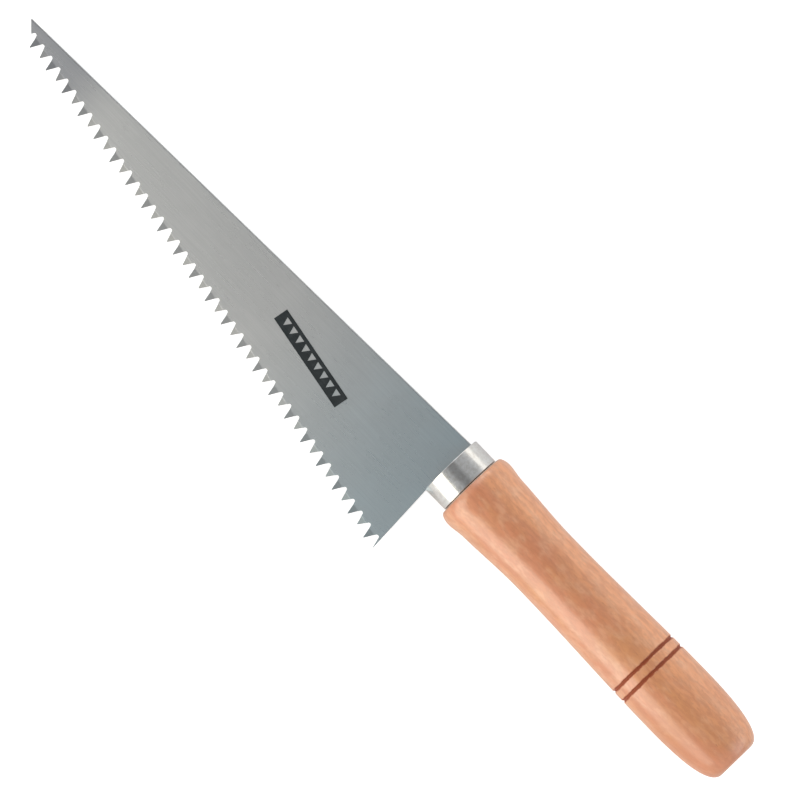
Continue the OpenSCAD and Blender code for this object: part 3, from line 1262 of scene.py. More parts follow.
@dataclass
class Blade:
    """The blade with its hidden tang: a flat plate, softened edges and alternately set teeth.

    Attributes:
        length: Length ahead of the ferrule's mouth.
        thickness: Thickness of the steel.
        back_inset: How far the back edge stands in from the ferrule's side at the mouth.
        point_rise: How far the point stands above the handle's axis, up being the back's side.
        first_tooth_drop: How far the first tip stands below the axis.
        first_tooth_setback: How far the first tip stands behind the point.
        heel_drop: How far the last tip stands below the axis.
        heel_lean: How far the last tip stands behind the ferrule's mouth.
        hollow: How far the tooth line bows inwards at its middle.
        nose_angle: Angle between the axis and the edge from the point towards the first tooth.
        pitch: Mean distance from tooth to tooth.
        gap_growth: How much wider the last gap is than the first.
        front_flank: Angle of a tooth's front flank from square to the line.
        rear_flank: Angle of its rear flank from square to the line.
        gullet_radius: Radius of the round bottom of a gullet.
        tip_width: Width of a tooth's tip.
        tooth_set: How far a tip is bent out of the plate.
        set_share: How much of a tooth's height is bent over.
        bend_radius: Radius of the bend.
        tang_length: Length of the tang behind the ferrule's mouth.
        tang_width: Width of the tang at its shoulders.
        tang_end_width: Width of the tang's round end.
        back_softening: How far the back edge is softened.
        tooth_softening: How far the other edges are softened.
        weld: Distance below which points are merged.
        arc_steps: Straight pieces in an arc.
        bend_steps: Rows of faces in a tooth's bend.
        fill_spacing: Distance between the points spread over the plate.
        cut_facing: The most that a cut face may face the way that the plate does, from 0 to 1.
        flat_facing: The least that a face of the flat plate faces that way.
        crease: Angle from which an edge is shaded sharp, in degrees.
        mouth: Where the ferrule's mouth stands along the saw.
        ferrule_radius: Outer radius of the ferrule.
    """

    length: float = 182.2 * MM
    thickness: float = 1.2 * MM
    back_inset: float = 1.45 * MM
    point_rise: float = 2.9 * MM
    first_tooth_drop: float = 3.4 * MM
    first_tooth_setback: float = 5.7 * MM
    heel_drop: float = 35.7 * MM
    heel_lean: float = 1.1 * MM
    hollow: float = 0.6 * MM
    nose_angle: float = math.radians(46)
    pitch: float = 4.2 * MM
    gap_growth: float = 0.14 * MM
    front_flank: float = math.radians(23)
    rear_flank: float = math.radians(20)
    gullet_radius: float = 0.6 * MM
    tip_width: float = 0.25 * MM
    tooth_set: float = 1.1 * MM
    set_share: float = 0.75
    bend_radius: float = 1.4 * MM
    tang_length: float = 52.0 * MM
    tang_width: float = 13.0 * MM
    tang_end_width: float = 7.0 * MM
    back_softening: float = 0.16 * MM
    tooth_softening: float = 0.045 * MM
    weld: float = 0.004 * MM
    arc_steps: int = 12
    bend_steps: int = 5
    fill_spacing: float = 4.5 * MM
    cut_facing: float = 0.3
    flat_facing: float = 0.99999
    crease: float = 20.0
    mouth: float = 0.0
    ferrule_radius: float = 0.0

    def __post_init__(self) -> None:
        """Works out the tooth line, the gullets and the bend."""
        self.point = Vector((self.mouth - self.length, self.point_rise))
        self.first_tip = Vector((self.point.x + self.first_tooth_setback, -self.first_tooth_drop))
        self.last_tip = Vector((self.mouth + self.heel_lean, -self.heel_drop))
        line = self.last_tip - self.first_tip
        self.line_length = line.length
        self.line_angle = math.atan2(line.y, line.x)
        self.gaps = round(self.line_length / self.pitch)
        self.first_gap = self.line_length / self.gaps - self.gap_growth / 2
        self.flank_run = math.tan(self.front_flank) + math.tan(self.rear_flank)
        half_sum = (self.front_flank + self.rear_flank) / 2
        self.half_skew = (self.front_flank - self.rear_flank) / 2
        self.arc_rise = self.gullet_radius * math.cos(self.half_skew) / math.sin(half_sum)
        notch = (self.first_gap - self.tip_width) / self.flank_run
        self.tooth_height = notch - self.arc_rise + self.gullet_radius
        self.bend_height = self.set_share * self.tooth_height
        self.bend_angle = math.atan2(self.tooth_set, self.bend_height)
        self.bend_reach = self.bend_radius * math.tan(self.bend_angle / 2)
        self.root_depth = self.bend_height + self.bend_reach

    def tip_along(self, i: int) -> float:
        """How far along the tooth line tooth i stands, from 0 at the point of the blade."""
        return i * self.first_gap + self.gap_growth * i * (i - 1) / (2 * (self.gaps - 1))

    def from_line(self, station: float, along: float, depth: float) -> Vector:
        """A point given square to the tooth line at one station along it.

        Args:
            station: Where along the line the square stands.
            along: Distance from the station along the line.
            depth: Distance in from the tips.

        Returns:
            The point in the blade's plane.
        """
        share = station / self.line_length
        inward = 4 * self.hollow * share * (1 - share)
        turn = self.line_angle + math.atan(4 * self.hollow * (1 - 2 * share) / self.line_length)
        start = self.first_tip + Matrix.Rotation(self.line_angle, 2) @ Vector((station, inward))
        return start + Matrix.Rotation(turn, 2) @ Vector((along, depth))

    def front_side(self, depth: float) -> float:
        """How far ahead of a tooth's middle its front flank stands, at a depth below the tip."""
        return -self.tip_width / 2 - depth * math.tan(self.front_flank)

    def rear_side(self, depth: float) -> float:
        """How far behind a tooth's middle its rear flank stands, at a depth below the tip."""
        return self.tip_width / 2 + depth * math.tan(self.rear_flank)

    def gullet(self, i: int) -> list[Vector]:
        """The rounded bottom of the gullet ahead of a tooth.

        Args:
            i: Which tooth, counted from 0 at the point of the blade.

        Returns:
            Its points, from its front side to its back side.
        """
        station = (self.tip_along(i - 1) + self.tip_along(i)) / 2
        half_gap = self.tip_along(i) - station
        notch = (2 * half_gap - self.tip_width) / self.flank_run
        middle = half_gap - self.tip_width / 2 - notch * math.tan(self.front_flank)
        middle += self.arc_rise * math.tan(self.half_skew)
        sweep = math.pi - self.rear_flank - self.front_flank
        arc = []
        for k in range(self.arc_steps + 1):
            a = self.rear_flank + sweep * k / self.arc_steps
            depth = notch - self.arc_rise + self.gullet_radius * math.sin(a)
            arc.append(self.from_line(station, middle - self.gullet_radius * math.cos(a), depth))
        return arc

    def tang_end(self) -> list[Vector]:
        """The tang's tapered sides and round end.

        Returns:
            Their points, from its shoulder on the teeth's side to the one on the back's side.
        """
        end_radius = self.tang_end_width / 2
        centre = self.mouth + self.tang_length - end_radius
        spots = [Vector((self.mouth, -self.tang_width / 2))]
        for k in range(self.arc_steps + 1):
            a = math.pi * (k / self.arc_steps - 0.5)
            spots.append(Vector((centre + end_radius * math.cos(a), end_radius * math.sin(a))))
        spots.append(Vector((self.mouth, self.tang_width / 2)))
        return spots

    def outline(self) -> list[EdgePoint]:
        """The plate's outline, anticlockwise from the top of the ferrule's mouth.

        Returns:
            The outline's points. It runs straight across the root of each set tooth.
        """
        fine = self.tooth_softening
        top = Vector((self.mouth, self.ferrule_radius - self.back_inset))
        nose = Vector((math.cos(self.nose_angle), -math.sin(self.nose_angle)))
        ahead = self.tip_along(-1)
        flank_top = self.from_line(ahead, self.rear_side(0), 0)
        flank_run = self.from_line(ahead, self.rear_side(MM), MM) - flank_top
        foot = crossing(self.point, nose, flank_top, flank_run)
        points = [EdgePoint(top, self.back_softening), EdgePoint(self.point, fine), EdgePoint(foot, fine)]
        for i in range(self.gaps):
            points += [EdgePoint(spot, fine) for spot in self.gullet(i)]
            station = self.tip_along(i)
            root_front = self.from_line(station, self.front_side(self.root_depth), self.root_depth)
            root_rear = self.from_line(station, self.rear_side(self.root_depth), self.root_depth)
            points += [EdgePoint(root_front, fine, open_ahead=True), EdgePoint(root_rear, fine)]
        points += [EdgePoint(spot, fine) for spot in self.gullet(self.gaps)]
        heel = Vector((self.mouth, -self.ferrule_radius))
        points += [EdgePoint(self.last_tip, fine), EdgePoint(heel, fine)]
        points += [EdgePoint(spot, fine) for spot in self.tang_end()]
        return points

    @staticmethod
    def inset(points: list[EdgePoint], share: float) -> list[Vector]:
        """Moves an outline inwards by a share of each edge's softening.

        Args:
            points: The outline, anticlockwise.
            share: How much of the softening to move by.

        Returns:
            The moved points, in the same order.
        """
        count = len(points)
        runs = [(points[(k + 1) % count].spot - points[k].spot).normalized() for k in range(count)]
        offsets = [share * point.rounding for point in points]
        moved = []
        for k, point in enumerate(points):
            before, after = runs[k - 1], runs[k]
            start = point.spot + offsets[k - 1] * Vector((-before.y, before.x))
            end = point.spot + offsets[k] * Vector((-after.y, after.x))
            straight = abs(before.cross(after)) < 1e-3
            moved.append((start + end) / 2 if straight else crossing(start, before, end, after))
        return moved

    def fill_points(self, points: list[EdgePoint]) -> list[Vector]:
        """Spreads points over the plate, so that its triangles stay well shaped.

        Args:
            points: The plate's outline.

        Returns:
            The points, all of them clear of the outline.
        """
        spots = [p.spot for p in points]
        lowest, highest = self.last_tip.y, self.ferrule_radius
        clear = self.fill_spacing / 3
        kept = []
        columns = int((self.mouth + self.tang_length - self.point.x) / self.fill_spacing)
        rows = int((highest - lowest) / self.fill_spacing) + 1
        for i in range(columns):
            for j in range(rows):
                along = (i + 0.5 * (j % 2)) * self.fill_spacing
                spot = Vector((self.point.x + along, lowest + j * self.fill_spacing))
                if inside(spot, spots) and min((spot - s).length for s in spots) > clear:
                    kept.append(spot)
        return kept

    def rim(self, points: list[EdgePoint]) -> tuple[list[Vector], list[tuple[int, ...]], list[float]]:
        """Rounds the plate's edge, ring by ring from one flat side to the other.

        Args:
            points: The plate's outline.

        Returns:
            The rings' points, the faces between the rings, and the points' edge marks.
        """
        stations = [rounding.value for rounding in Rounding]
        rings = [self.inset(points, share) for share, _ in stations]
        previous = points[-1:] + points[:-1]
        soften = [max(before.rounding, point.rounding) for before, point in zip(previous, points)]
        verts, edge = [], []
        for side in (1, -1):
            for (_, drop), ring in zip(stations, rings):
                for spot, amount in zip(ring, soften):
                    verts.append(Vector((spot.x, spot.y, side * (self.thickness / 2 - drop * amount))))
                    edge.append(0.0 if drop == 0.0 else 1.0)
        down = list(range(len(stations)))
        levels = down + [len(stations) + level for level in reversed(down)]
        count = len(points)
        faces: list[tuple[int, ...]] = []
        for upper, lower in zip(levels, levels[1:]):
            for k, point in enumerate(points):
                if not point.open_ahead:
                    n = (k + 1) % count
                    faces.append((upper * count + k, lower * count + k, lower * count + n, upper * count + n))
        return verts, faces, edge

    def plate(self) -> bpy.types.Mesh:
        """The flat plate with softened edges.

        Returns:
            Its mesh, open at the root of each set tooth.
        """
        points = self.outline()
        count, scale = len(points), 1 / MM
        inside_only, merge = 1, 1e-6
        spread = [spot * scale for spot in self.inset(points, 1.0) + self.fill_points(points)]
        loops = [list(range(count))]
        spots, _, triangles, sources, _, _ = delaunay_2d_cdt(spread, [], loops, inside_only, merge)
        place = {k: source[0] for k, source in enumerate(sources) if source}
        verts, faces, edge = self.rim(points)
        for side, ring_start in ((1, 0), (-1, len(Rounding) * count)):
            where = {}
            for k, spot in enumerate(spots):
                if k in place and place[k] < count:
                    where[k] = ring_start + place[k]
                else:
                    where[k] = len(verts)
                    verts.append(Vector((spot.x / scale, spot.y / scale, side * self.thickness / 2)))
                    edge.append(0.0)
            faces += [tuple(where[k] for k in triangle[::side]) for triangle in triangles]
        mesh = new_mesh("blade_plate", verts, faces)
        mark_points(mesh, EDGE, edge)
        return mesh

    def tooth_rows(self) -> list[ToothRow]:
        """Works out the rows of a set tooth.

        Returns:
            The rows, round its bend and then straight on to its tip.
        """
        length, soft = math.hypot(self.tooth_set, self.bend_height), self.tooth_softening
        rows = []
        for k in range(self.bend_steps + 1):
            lean = self.bend_angle * k / self.bend_steps
            inward = self.bend_height + self.bend_reach - self.bend_radius * math.sin(lean)
            bent = self.bend_radius * (1 - math.cos(lean))
            rows.append(ToothRow(inward, bent, lean, self.root_depth - self.bend_radius * lean))
        straight = rows[-1].depth
        for share, trim in ((0.5, 0.0), (1.0 - soft / length, 0.0), (1.0, soft)):
            run = self.bend_reach + (length - self.bend_reach) * share
            inward = self.bend_height - run * math.cos(self.bend_angle)
            bent = run * math.sin(self.bend_angle)
            rows.append(ToothRow(inward, bent, self.bend_angle, straight * (1 - share), trim))
        return rows

    def tooth_ring(self, row: ToothRow) -> list[tuple[float, float, float]]:
        """The points round a tooth in one row.

        Args:
            row: The row.

        Returns:
            For each point, its place along the tooth line, its distance from the middle of the steel,
            and how far it is dropped by the softening, from 0 to 1.
        """
        soft, thin = self.tooth_softening, self.thickness / 2 - row.trim
        down = [rounding.value for rounding in Rounding]
        flanks = (
            (self.front_side(row.depth) + row.trim, soft / math.cos(self.front_flank), 1),
            (self.rear_side(row.depth) - row.trim, -soft / math.cos(self.rear_flank), -1),
        )
        ring = []
        for start, inward, first in flanks:
            for level, stations in ((first, down), (-first, down[::-1])):
                for share, drop in stations:
                    ring.append((start + share * inward, level * (thin - drop * soft), drop))
        return ring

    def tooth(self, side: Side) -> bpy.types.Mesh:
        """One set tooth, with its tip at the origin and its root towards +Y.

        Args:
            side: The side that it is bent to.

        Returns:
            Its mesh, open at the root.
        """
        rows = self.tooth_rows()
        verts, edge, faces = [], [], []
        for row in rows:
            for x, off, drop in self.tooth_ring(row):
                y = row.inward + off * math.sin(row.lean)
                z = side.value * row.bent + off * math.cos(row.lean)
                verts.append(Vector((x, y, z)))
                edge.append(0.0 if drop == 0.0 else 1.0)
        count = len(verts) // len(rows)
        for r in range(len(rows) - 1):
            for k in range(count):
                n = (k + 1) % count
                faces.append((r * count + k, r * count + n, (r + 1) * count + n, (r + 1) * count + k))
        faces.append(tuple(range(len(verts) - count, len(verts))))
        mesh = new_mesh(f"tooth_{side.name.lower()}", verts, faces)
        mark_points(mesh, EDGE, edge)
        pressed = [min(r / self.bend_steps, 1.0) for r in range(len(rows)) for _ in range(count)]
        mark_points(mesh, PRESSED, pressed)
        return mesh

    def build(self, lie: Lie, effects: Effects, tree: GeometryTree) -> bpy.types.Object:
        """Builds the blade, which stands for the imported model's blade.

        Args:
            lie: How the saw lies.
            effects: The shared node groups.
            tree: The tree that stands teeth along the tooth line.

        Returns:
            The piece.
        """
        faces = BrushedSteel().material(lie, effects)
        cuts = CutSteel().material(lie, effects)
        prototypes = {side: new_object(f"tooth_{side.name.lower()}", self.tooth(side)) for side in Side}
        mesh = tree.run(
            self.plate(),
            {
                "Teeth": self.gaps,
                "First Gap": self.first_gap,
                "Gap Growth": self.gap_growth,
                "Line Length": self.line_length,
                "Hollow": self.hollow,
                "First Tip": (self.first_tip.x, self.first_tip.y, 0.0),
                "Line Turn": (0.0, 0.0, self.line_angle),
                "Tooth Up": prototypes[Side.UP],
                "Tooth Down": prototypes[Side.DOWN],
                "Weld": self.weld,
                "Material": faces,
            },
        )
        for prototype in prototypes.values():
            bpy.data.objects.remove(prototype)
        close_and_orient(mesh, self.weld)
        mesh.materials.clear()
        for steel in (faces, cuts):
            mesh.materials.append(steel)
        for face in mesh.polygons:
            face.material_index = 1 if abs(face.normal.z) < self.cut_facing else 0
        shade_by_angle(mesh, self.crease)
        self.keep_plate_flat(mesh)
        piece = lie.lay("saw_blade", mesh)
        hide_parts("blade")
        return piece

    def keep_plate_flat(self, mesh: bpy.types.Mesh) -> None:
        """Marks the flat plate's border sharp, so that a bend's shading doesn't run into it.

        Args:
            mesh: The blade's mesh.
        """
        work = bmesh.new()
        work.from_mesh(mesh)
        for edge in work.edges:
            flat = [abs(face.normal.z) > self.flat_facing for face in edge.link_faces]
            if any(flat) and not all(flat):
                edge.smooth = False
        work.to_mesh(mesh)
        work.free()


def inside(spot: Vector, outline: list[Vector]) -> bool:
    """Finds whether a spot lies inside a closed outline.

    Args:
        spot: The spot.
        outline: The outline's corners.

    Returns:
        Whether it lies inside.
    """
    crossings = 0
    for a, b in zip(outline, outline[1:] + outline[:1]):
        if (a.y > spot.y) != (b.y > spot.y):
            crossings += spot.x < a.x + (spot.y - a.y) * (b.x - a.x) / (b.y - a.y)
    return crossings % 2 == 1


# --- turned pieces ---


def arc(centre: tuple[float, float], radius: float, start: float, end: float, steps: int) -> list[Vector]:
    """Points along an arc.

    Args:
        centre: Centre of the arc.
        radius: Its radius.
        start: Angle of its first point, in degrees.
        end: Angle of its last point, in degrees.
        steps: Number of straight pieces.

    Returns:
        The points.
    """
    spots = []
    for k in range(steps + 1):
        a = math.radians(start + (end - start) * k / steps)
        spots.append(Vector((centre[0] + radius * math.cos(a), centre[1] + radius * math.sin(a))))
    return spots


def turn(
    tree: GeometryTree, name: str, outline: list[Vector], segments: int, material: bpy.types.Material
) -> bpy.types.Mesh:
    """Turns an outline of (place, radius) points about X.

    Args:
        tree: The lathe.
        name: Name of the mesh.
        outline: The outline, from one end to the other.
        segments: Faces round the piece.
        material: Its material.

    Returns:
        The closed mesh.
    """
    weld = 0.001 * MM
    spots = [Vector((spot.x, spot.y, 0.0)) for spot in outline]
    line = new_mesh(name, spots, [], [(k, k + 1) for k in range(len(spots) - 1)])
    mesh = tree.run(line, {"Segments": segments, "Weld": weld, "Material": material})
    close_and_orient(mesh, weld)
    return mesh


@dataclass
class Ferrule:
    """The ferrule: a short steel tube with rolled rims that keeps the wood from splitting.

    Attributes:
        length: Length of the tube.
        diameter: Outer diameter of the tube.
        wall: Thickness of its wall.
        gap: Gap between the tube and the handle's front face.
        rim_radius: Radius of its outer edges.
        inner_rim_radius: Radius of its inner edges.
        rim_steps: Straight pieces in a rounded edge.
        segments: Faces round the tube.
        crease: Angle from which an edge is shaded sharp, in degrees.
    """

    length: float = 8.3 * MM
    diameter: float = 20.8 * MM
    wall: float = 0.8 * MM
    gap: float = 0.3 * MM
    rim_radius: float = 0.22 * MM
    inner_rim_radius: float = 0.12 * MM
    rim_steps: int = 6
    segments: int = 192
    crease: float = 40.0

    @property
    def mouth(self) -> float:
        """Where the ferrule's mouth stands, ahead of the handle's front face."""
        return -(self.length + self.gap)

    @property
    def radius(self) -> float:
        """Outer radius of the tube."""
        return self.diameter / 2

    def outline(self) -> list[Vector]:
        """The outline of the tube's wall.

        Returns:
            A closed loop of (place, radius) points.
        """
        front, back, outer = self.mouth, -self.gap, self.radius
        inner = outer - self.wall
        big, small, steps = self.rim_radius, self.inner_rim_radius, self.rim_steps
        loop = arc((front + big, outer - big), big, 180, 90, steps)
        loop += arc((back - big, outer - big), big, 90, 0, steps)
        loop += arc((back - small, inner + small), small, 0, -90, steps)
        loop += arc((front + small, inner + small), small, 270, 180, steps)
        return loop + [loop[0].copy()]

    def build(self, lie: Lie, effects: Effects, lathe: GeometryTree) -> bpy.types.Object:
        """Builds the ferrule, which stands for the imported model's ferrule.

        Args:
            lie: How the saw lies.
            effects: The shared node groups.
            lathe: The tree that turns outlines.

        Returns:
            The piece.
        """
        steel = PolishedSteel().material(lie, effects)
        mesh = turn(lathe, "polished_ferrule", self.outline(), self.segments, steel)
        slack = 1e-6
        low, high = self.mouth + self.rim_radius + slack, -self.gap - self.rim_radius - slack
        mark_points(mesh, EDGE, [0.0 if low < v.co.x < high else 1.0 for v in mesh.vertices])
        shade_by_angle(mesh, self.crease)
        piece = lie.lay("polished_ferrule", mesh)
        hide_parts("ferrule")
        return piece


@dataclass
class Handle:
    """The turned handle: a spigot in the ferrule, a lipped swell, a waist, a rear swell and a blunt end.

    Attributes:
        length: Length behind its front face.
        shoulder_step: How far the rim of its front face stands out past the ferrule.
        swell_step: How far the front swell stands out past the ferrule.
        swell_place: Where the front swell is widest, behind the front face.
        lip_height: How far the swell's lip stands out.
        lip_fade: Length over which the lip fades.
        waist_diameter: Diameter of the waist.
        waist_place: Where the waist is thinnest, behind the front face.
        rear_diameter: Diameter of the rear swell.
        butt_run: Length of the rounded end.
        butt_flat_diameter: Diameter of the flat on the end.
        butt_fullness: How far the rounded end pulls back along the rear swell.
        butt_corner: How far the rounded end pulls out along the flat.
        groove_from_butt: Distance from the end to the first groove.
        groove_spacing: Distance from groove to groove.
        groove_width: Width of a groove.
        groove_depth: Depth of a groove.
        spigot_clearance: Gap between the spigot and the ferrule's wall.
        film: Thickness of the adhesive round the tang.
        slot_run_out: How far the slot's cutter runs out past the mouth.
        step: Distance between the outline's points.
        groove_step: Distance between them near a groove.
        swell_steps: Straight pieces in the front swell's rise.
        butt_steps: Straight pieces in the rounded end.
        segments: Faces round the handle.
        rim_band: Width of the rubbed band at each rim.
        crease: Angle from which an edge is shaded sharp, in degrees.
    """

    length: float = 113.0 * MM
    shoulder_step: float = 0.85 * MM
    swell_step: float = 2.35 * MM
    swell_place: float = 3.6 * MM
    lip_height: float = 0.52 * MM
    lip_fade: float = 5.5 * MM
    waist_diameter: float = 22.2 * MM
    waist_place: float = 32.0 * MM
    rear_diameter: float = 24.2 * MM
    butt_run: float = 25.0 * MM
    butt_flat_diameter: float = 11.8 * MM
    butt_fullness: float = 16.0 * MM
    butt_corner: float = 4.6 * MM
    groove_from_butt: float = 39.7 * MM
    groove_spacing: float = 3.9 * MM
    groove_width: float = 1.4 * MM
    groove_depth: float = 0.45 * MM
    spigot_clearance: float = 0.05 * MM
    film: float = 0.35 * MM
    slot_run_out: float = MM
    step: float = 0.8 * MM
    groove_step: float = 0.07 * MM
    swell_steps: int = 16
    butt_steps: int = 48
    segments: int = 192
    rim_band: float = 0.25 * MM
    crease: float = 38.0

    def grooves(self) -> list[float]:
        """The middle of each groove, behind the front face."""
        first = self.length - self.groove_from_butt
        return [first, first + self.groove_spacing]

    def front_taper(self, x: float, swell: float) -> float:
        """The radius between the swell and the waist, with the swell's lip fading behind it.

        Args:
            x: Distance behind the front face.
            swell: Radius of the front swell.

        Returns:
            The radius there.
        """
        waist = self.waist_diameter / 2
        body = soft_step((self.waist_place - x) / (self.waist_place - self.swell_place))
        lip = soft_step(1 - (x - self.swell_place) / self.lip_fade)
        return waist + (swell - self.lip_height - waist) * body + self.lip_height * lip

    def rear_taper(self, x: float) -> float:
        """The radius between the waist and the rear swell, with the grooves cut into it.

        Args:
            x: Distance behind the front face.

        Returns:
            The radius there.
        """
        waist, rear = self.waist_diameter / 2, self.rear_diameter / 2
        rear_place = self.length - self.butt_run
        radius = waist + (rear - waist) * soft_step((x - self.waist_place) / (rear_place - self.waist_place))
        for middle in self.grooves():
            off = abs(x - middle) / (self.groove_width / 2)
            radius -= self.groove_depth * (1 - soft_step(off)) if off < 1 else 0.0
        return radius

    def butt(self, share: float) -> Vector:
        """A point on the rounded end, which is a cubic curve.

        Args:
            share: How far along the curve, from 0 at the rear swell to 1 at the flat.

        Returns:
            The point, as (place, radius).
        """
        rear, flat = self.rear_diameter / 2, self.butt_flat_diameter / 2
        start = self.length - self.butt_run
        stations = (
            Vector((start, rear)),
            Vector((start + self.butt_fullness, rear)),
            Vector((self.length, flat + self.butt_corner)),
            Vector((self.length, flat)),
        )
        weights = ((1 - share) ** 3, 3 * (1 - share) ** 2 * share, 3 * (1 - share) * share**2, share**3)
        return sum((w * s for w, s in zip(weights, stations)), Vector((0.0, 0.0)))

    def outline(self, ferrule: Ferrule) -> list[Vector]:
        """The handle's outline as (place, radius) points, from the ferrule's mouth to the butt.

        Args:
            ferrule: The ferrule that the spigot fits.

        Returns:
            The outline.
        """
        spigot = ferrule.radius - ferrule.wall - self.spigot_clearance
        front, swell = ferrule.radius + self.shoulder_step, ferrule.radius + self.swell_step
        spots = [Vector((ferrule.mouth, 0.0)), Vector((ferrule.mouth, spigot)), Vector((0.0, spigot))]
        for k in range(self.swell_steps + 1):
            a = math.pi / 2 * k / self.swell_steps
            along = self.swell_place * (1 - math.cos(a))
            spots.append(Vector((along, front + (swell - front) * math.sin(a))))
        x = self.swell_place
        while x + self.step / 2 < self.waist_place:
            x += self.step / 2
            spots.append(Vector((x, self.front_taper(x, swell))))
        rear_place = self.length - self.butt_run
        while x < rear_place - self.step:
            near = min(abs(x - middle) for middle in self.grooves()) < self.groove_width / 2 + self.step
            x += self.groove_step if near else self.step
            spots.append(Vector((x, self.rear_taper(x))))
        spots += [self.butt(k / self.butt_steps) for k in range(self.butt_steps + 1)]
        return spots + [Vector((self.length, self.butt_flat_diameter / 4)), Vector((self.length, 0.0))]

    def slot_cutter(self, blade: Blade) -> bpy.types.Object:
        """Makes a prism of the tang's outline with the adhesive's film round it.

        Args:
            blade: The blade whose tang it makes room for.

        Returns:
            The prism, run out past the ferrule's mouth.
        """
        corners = blade.tang_end()
        centre = Vector((blade.mouth + blade.tang_length - blade.tang_end_width / 2, 0.0))
        grown = [spot + self.film * (spot - centre).normalized() for spot in corners]
        for k in (0, -1):
            shoulder = corners[k]
            grown[k] = Vector((shoulder.x, shoulder.y + math.copysign(self.film, shoulder.y)))
        first, last = (Vector((grown[k].x - self.slot_run_out, grown[k].y)) for k in (0, -1))
        grown = [first, *grown, last]
        half, count = blade.thickness / 2 + self.film, len(grown)
        verts = [Vector((spot.x, spot.y, z)) for z in (half, -half) for spot in grown]
        faces: list[tuple[int, ...]] = [tuple(range(count)), tuple(range(2 * count - 1, count - 1, -1))]
        for k in range(count):
            n = (k + 1) % count
            faces.append((k, count + k, count + n, n))
        return new_object("slot_cutter", new_mesh("slot_cutter", verts, faces))

    def cut_slot(self, mesh: bpy.types.Mesh, blade: Blade) -> bpy.types.Mesh:
        """Cuts the tang's slot into the spigot.

        Args:
            mesh: The handle without its slot.
            blade: The blade whose tang the slot takes.

        Returns:
            The handle with its slot.
        """
        cutter = self.slot_cutter(blade)
        holder = new_object("handle_blank", mesh)
        cut = holder.modifiers.new("slot", "BOOLEAN")
        cut.operation, cut.solver, cut.object = "DIFFERENCE", "EXACT", cutter
        made = run_modifiers(holder)
        bpy.data.objects.remove(cutter)
        return made

    def build(
        self, lie: Lie, effects: Effects, lathe: GeometryTree, ferrule: Ferrule, blade: Blade
    ) -> bpy.types.Object:
        """Builds the handle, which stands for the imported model's handle.

        Args:
            lie: How the saw lies.
            effects: The shared node groups.
            lathe: The tree that turns outlines.
            ferrule: The ferrule on its spigot.
            blade: The blade whose tang it holds.

        Returns:
            The piece.
        """
        grooves = [middle / MM for middle in self.grooves()]
        wood = LacqueredWood().material(lie, effects, grooves, self.length / MM)
        mesh = turn(lathe, "turned_handle", self.outline(ferrule), self.segments, wood)
        mesh = self.cut_slot(mesh, blade)
        from_rims = [min(abs(v.co.x), abs(v.co.x - self.length)) for v in mesh.vertices]
        mark_points(mesh, EDGE, [1.0 if away < self.rim_band else 0.0 for away in from_rims])
        shade_by_angle(mesh, self.crease)
        piece = lie.lay("turned_handle", mesh)
        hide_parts("handle")
        return piece


def soft_step(share: float) -> float:
    """A step from 0 to 1 with soft ends."""
    return (1 - math.cos(math.pi * min(max(share, 0.0), 1.0))) / 2


def dress_node(node: bpy.types.Object, material: bpy.types.Material) -> bpy.types.Object:
    """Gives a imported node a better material, and leaves its mesh as it is.

    Args:
        node: The node.
        material: The material.

    Returns:
        The node.
    """
    node.data.materials.clear()
    node.data.materials.append(material)
    return node


# --- the studio ---


@dataclass(frozen=True)
class Softbox:
    """A large soft light.

    Attributes:
        name: Name of the light.
        tilt: Angle from straight up to the light, in degrees, seen along the handle.
        swing: Turn of the light about the vertical, in degrees.
        reach: Distance from the saw.
        size: Its width and its height.
        roll: Turn of its rectangle in its own plane, in degrees.
        power: Its power in watts.
        colour: Its colour.
    """

    name: str
    tilt: float
    swing: float
    reach: float
    size: tuple[float, float]
    roll: float
    power: float
    colour: tuple[float, float, float]

    def build(self, target: Vector) -> bpy.types.Object:
        """Hangs the light so that it faces the target.

        Args:
            target: The point that it faces.

        Returns:
            The light.
        """
        data = bpy.data.lights.new(self.name, "AREA")
        data.shape = "RECTANGLE"
        data.size, data.size_y = self.size
        data.energy = self.power
        data.color = self.colour
        light = new_object(self.name, data)
        tilt, swing = math.radians(self.tilt), math.radians(self.swing)
        out = Vector((math.sin(tilt) * math.sin(swing), -math.sin(tilt) * math.cos(swing), math.cos(tilt)))
        light.location = target + self.reach * out
        facing = out.to_track_quat("Z", "Y") @ Quaternion((0.0, 0.0, 1.0), math.radians(self.roll))
        light.rotation_euler = facing.to_euler()
        light.visible_camera = False
        return light


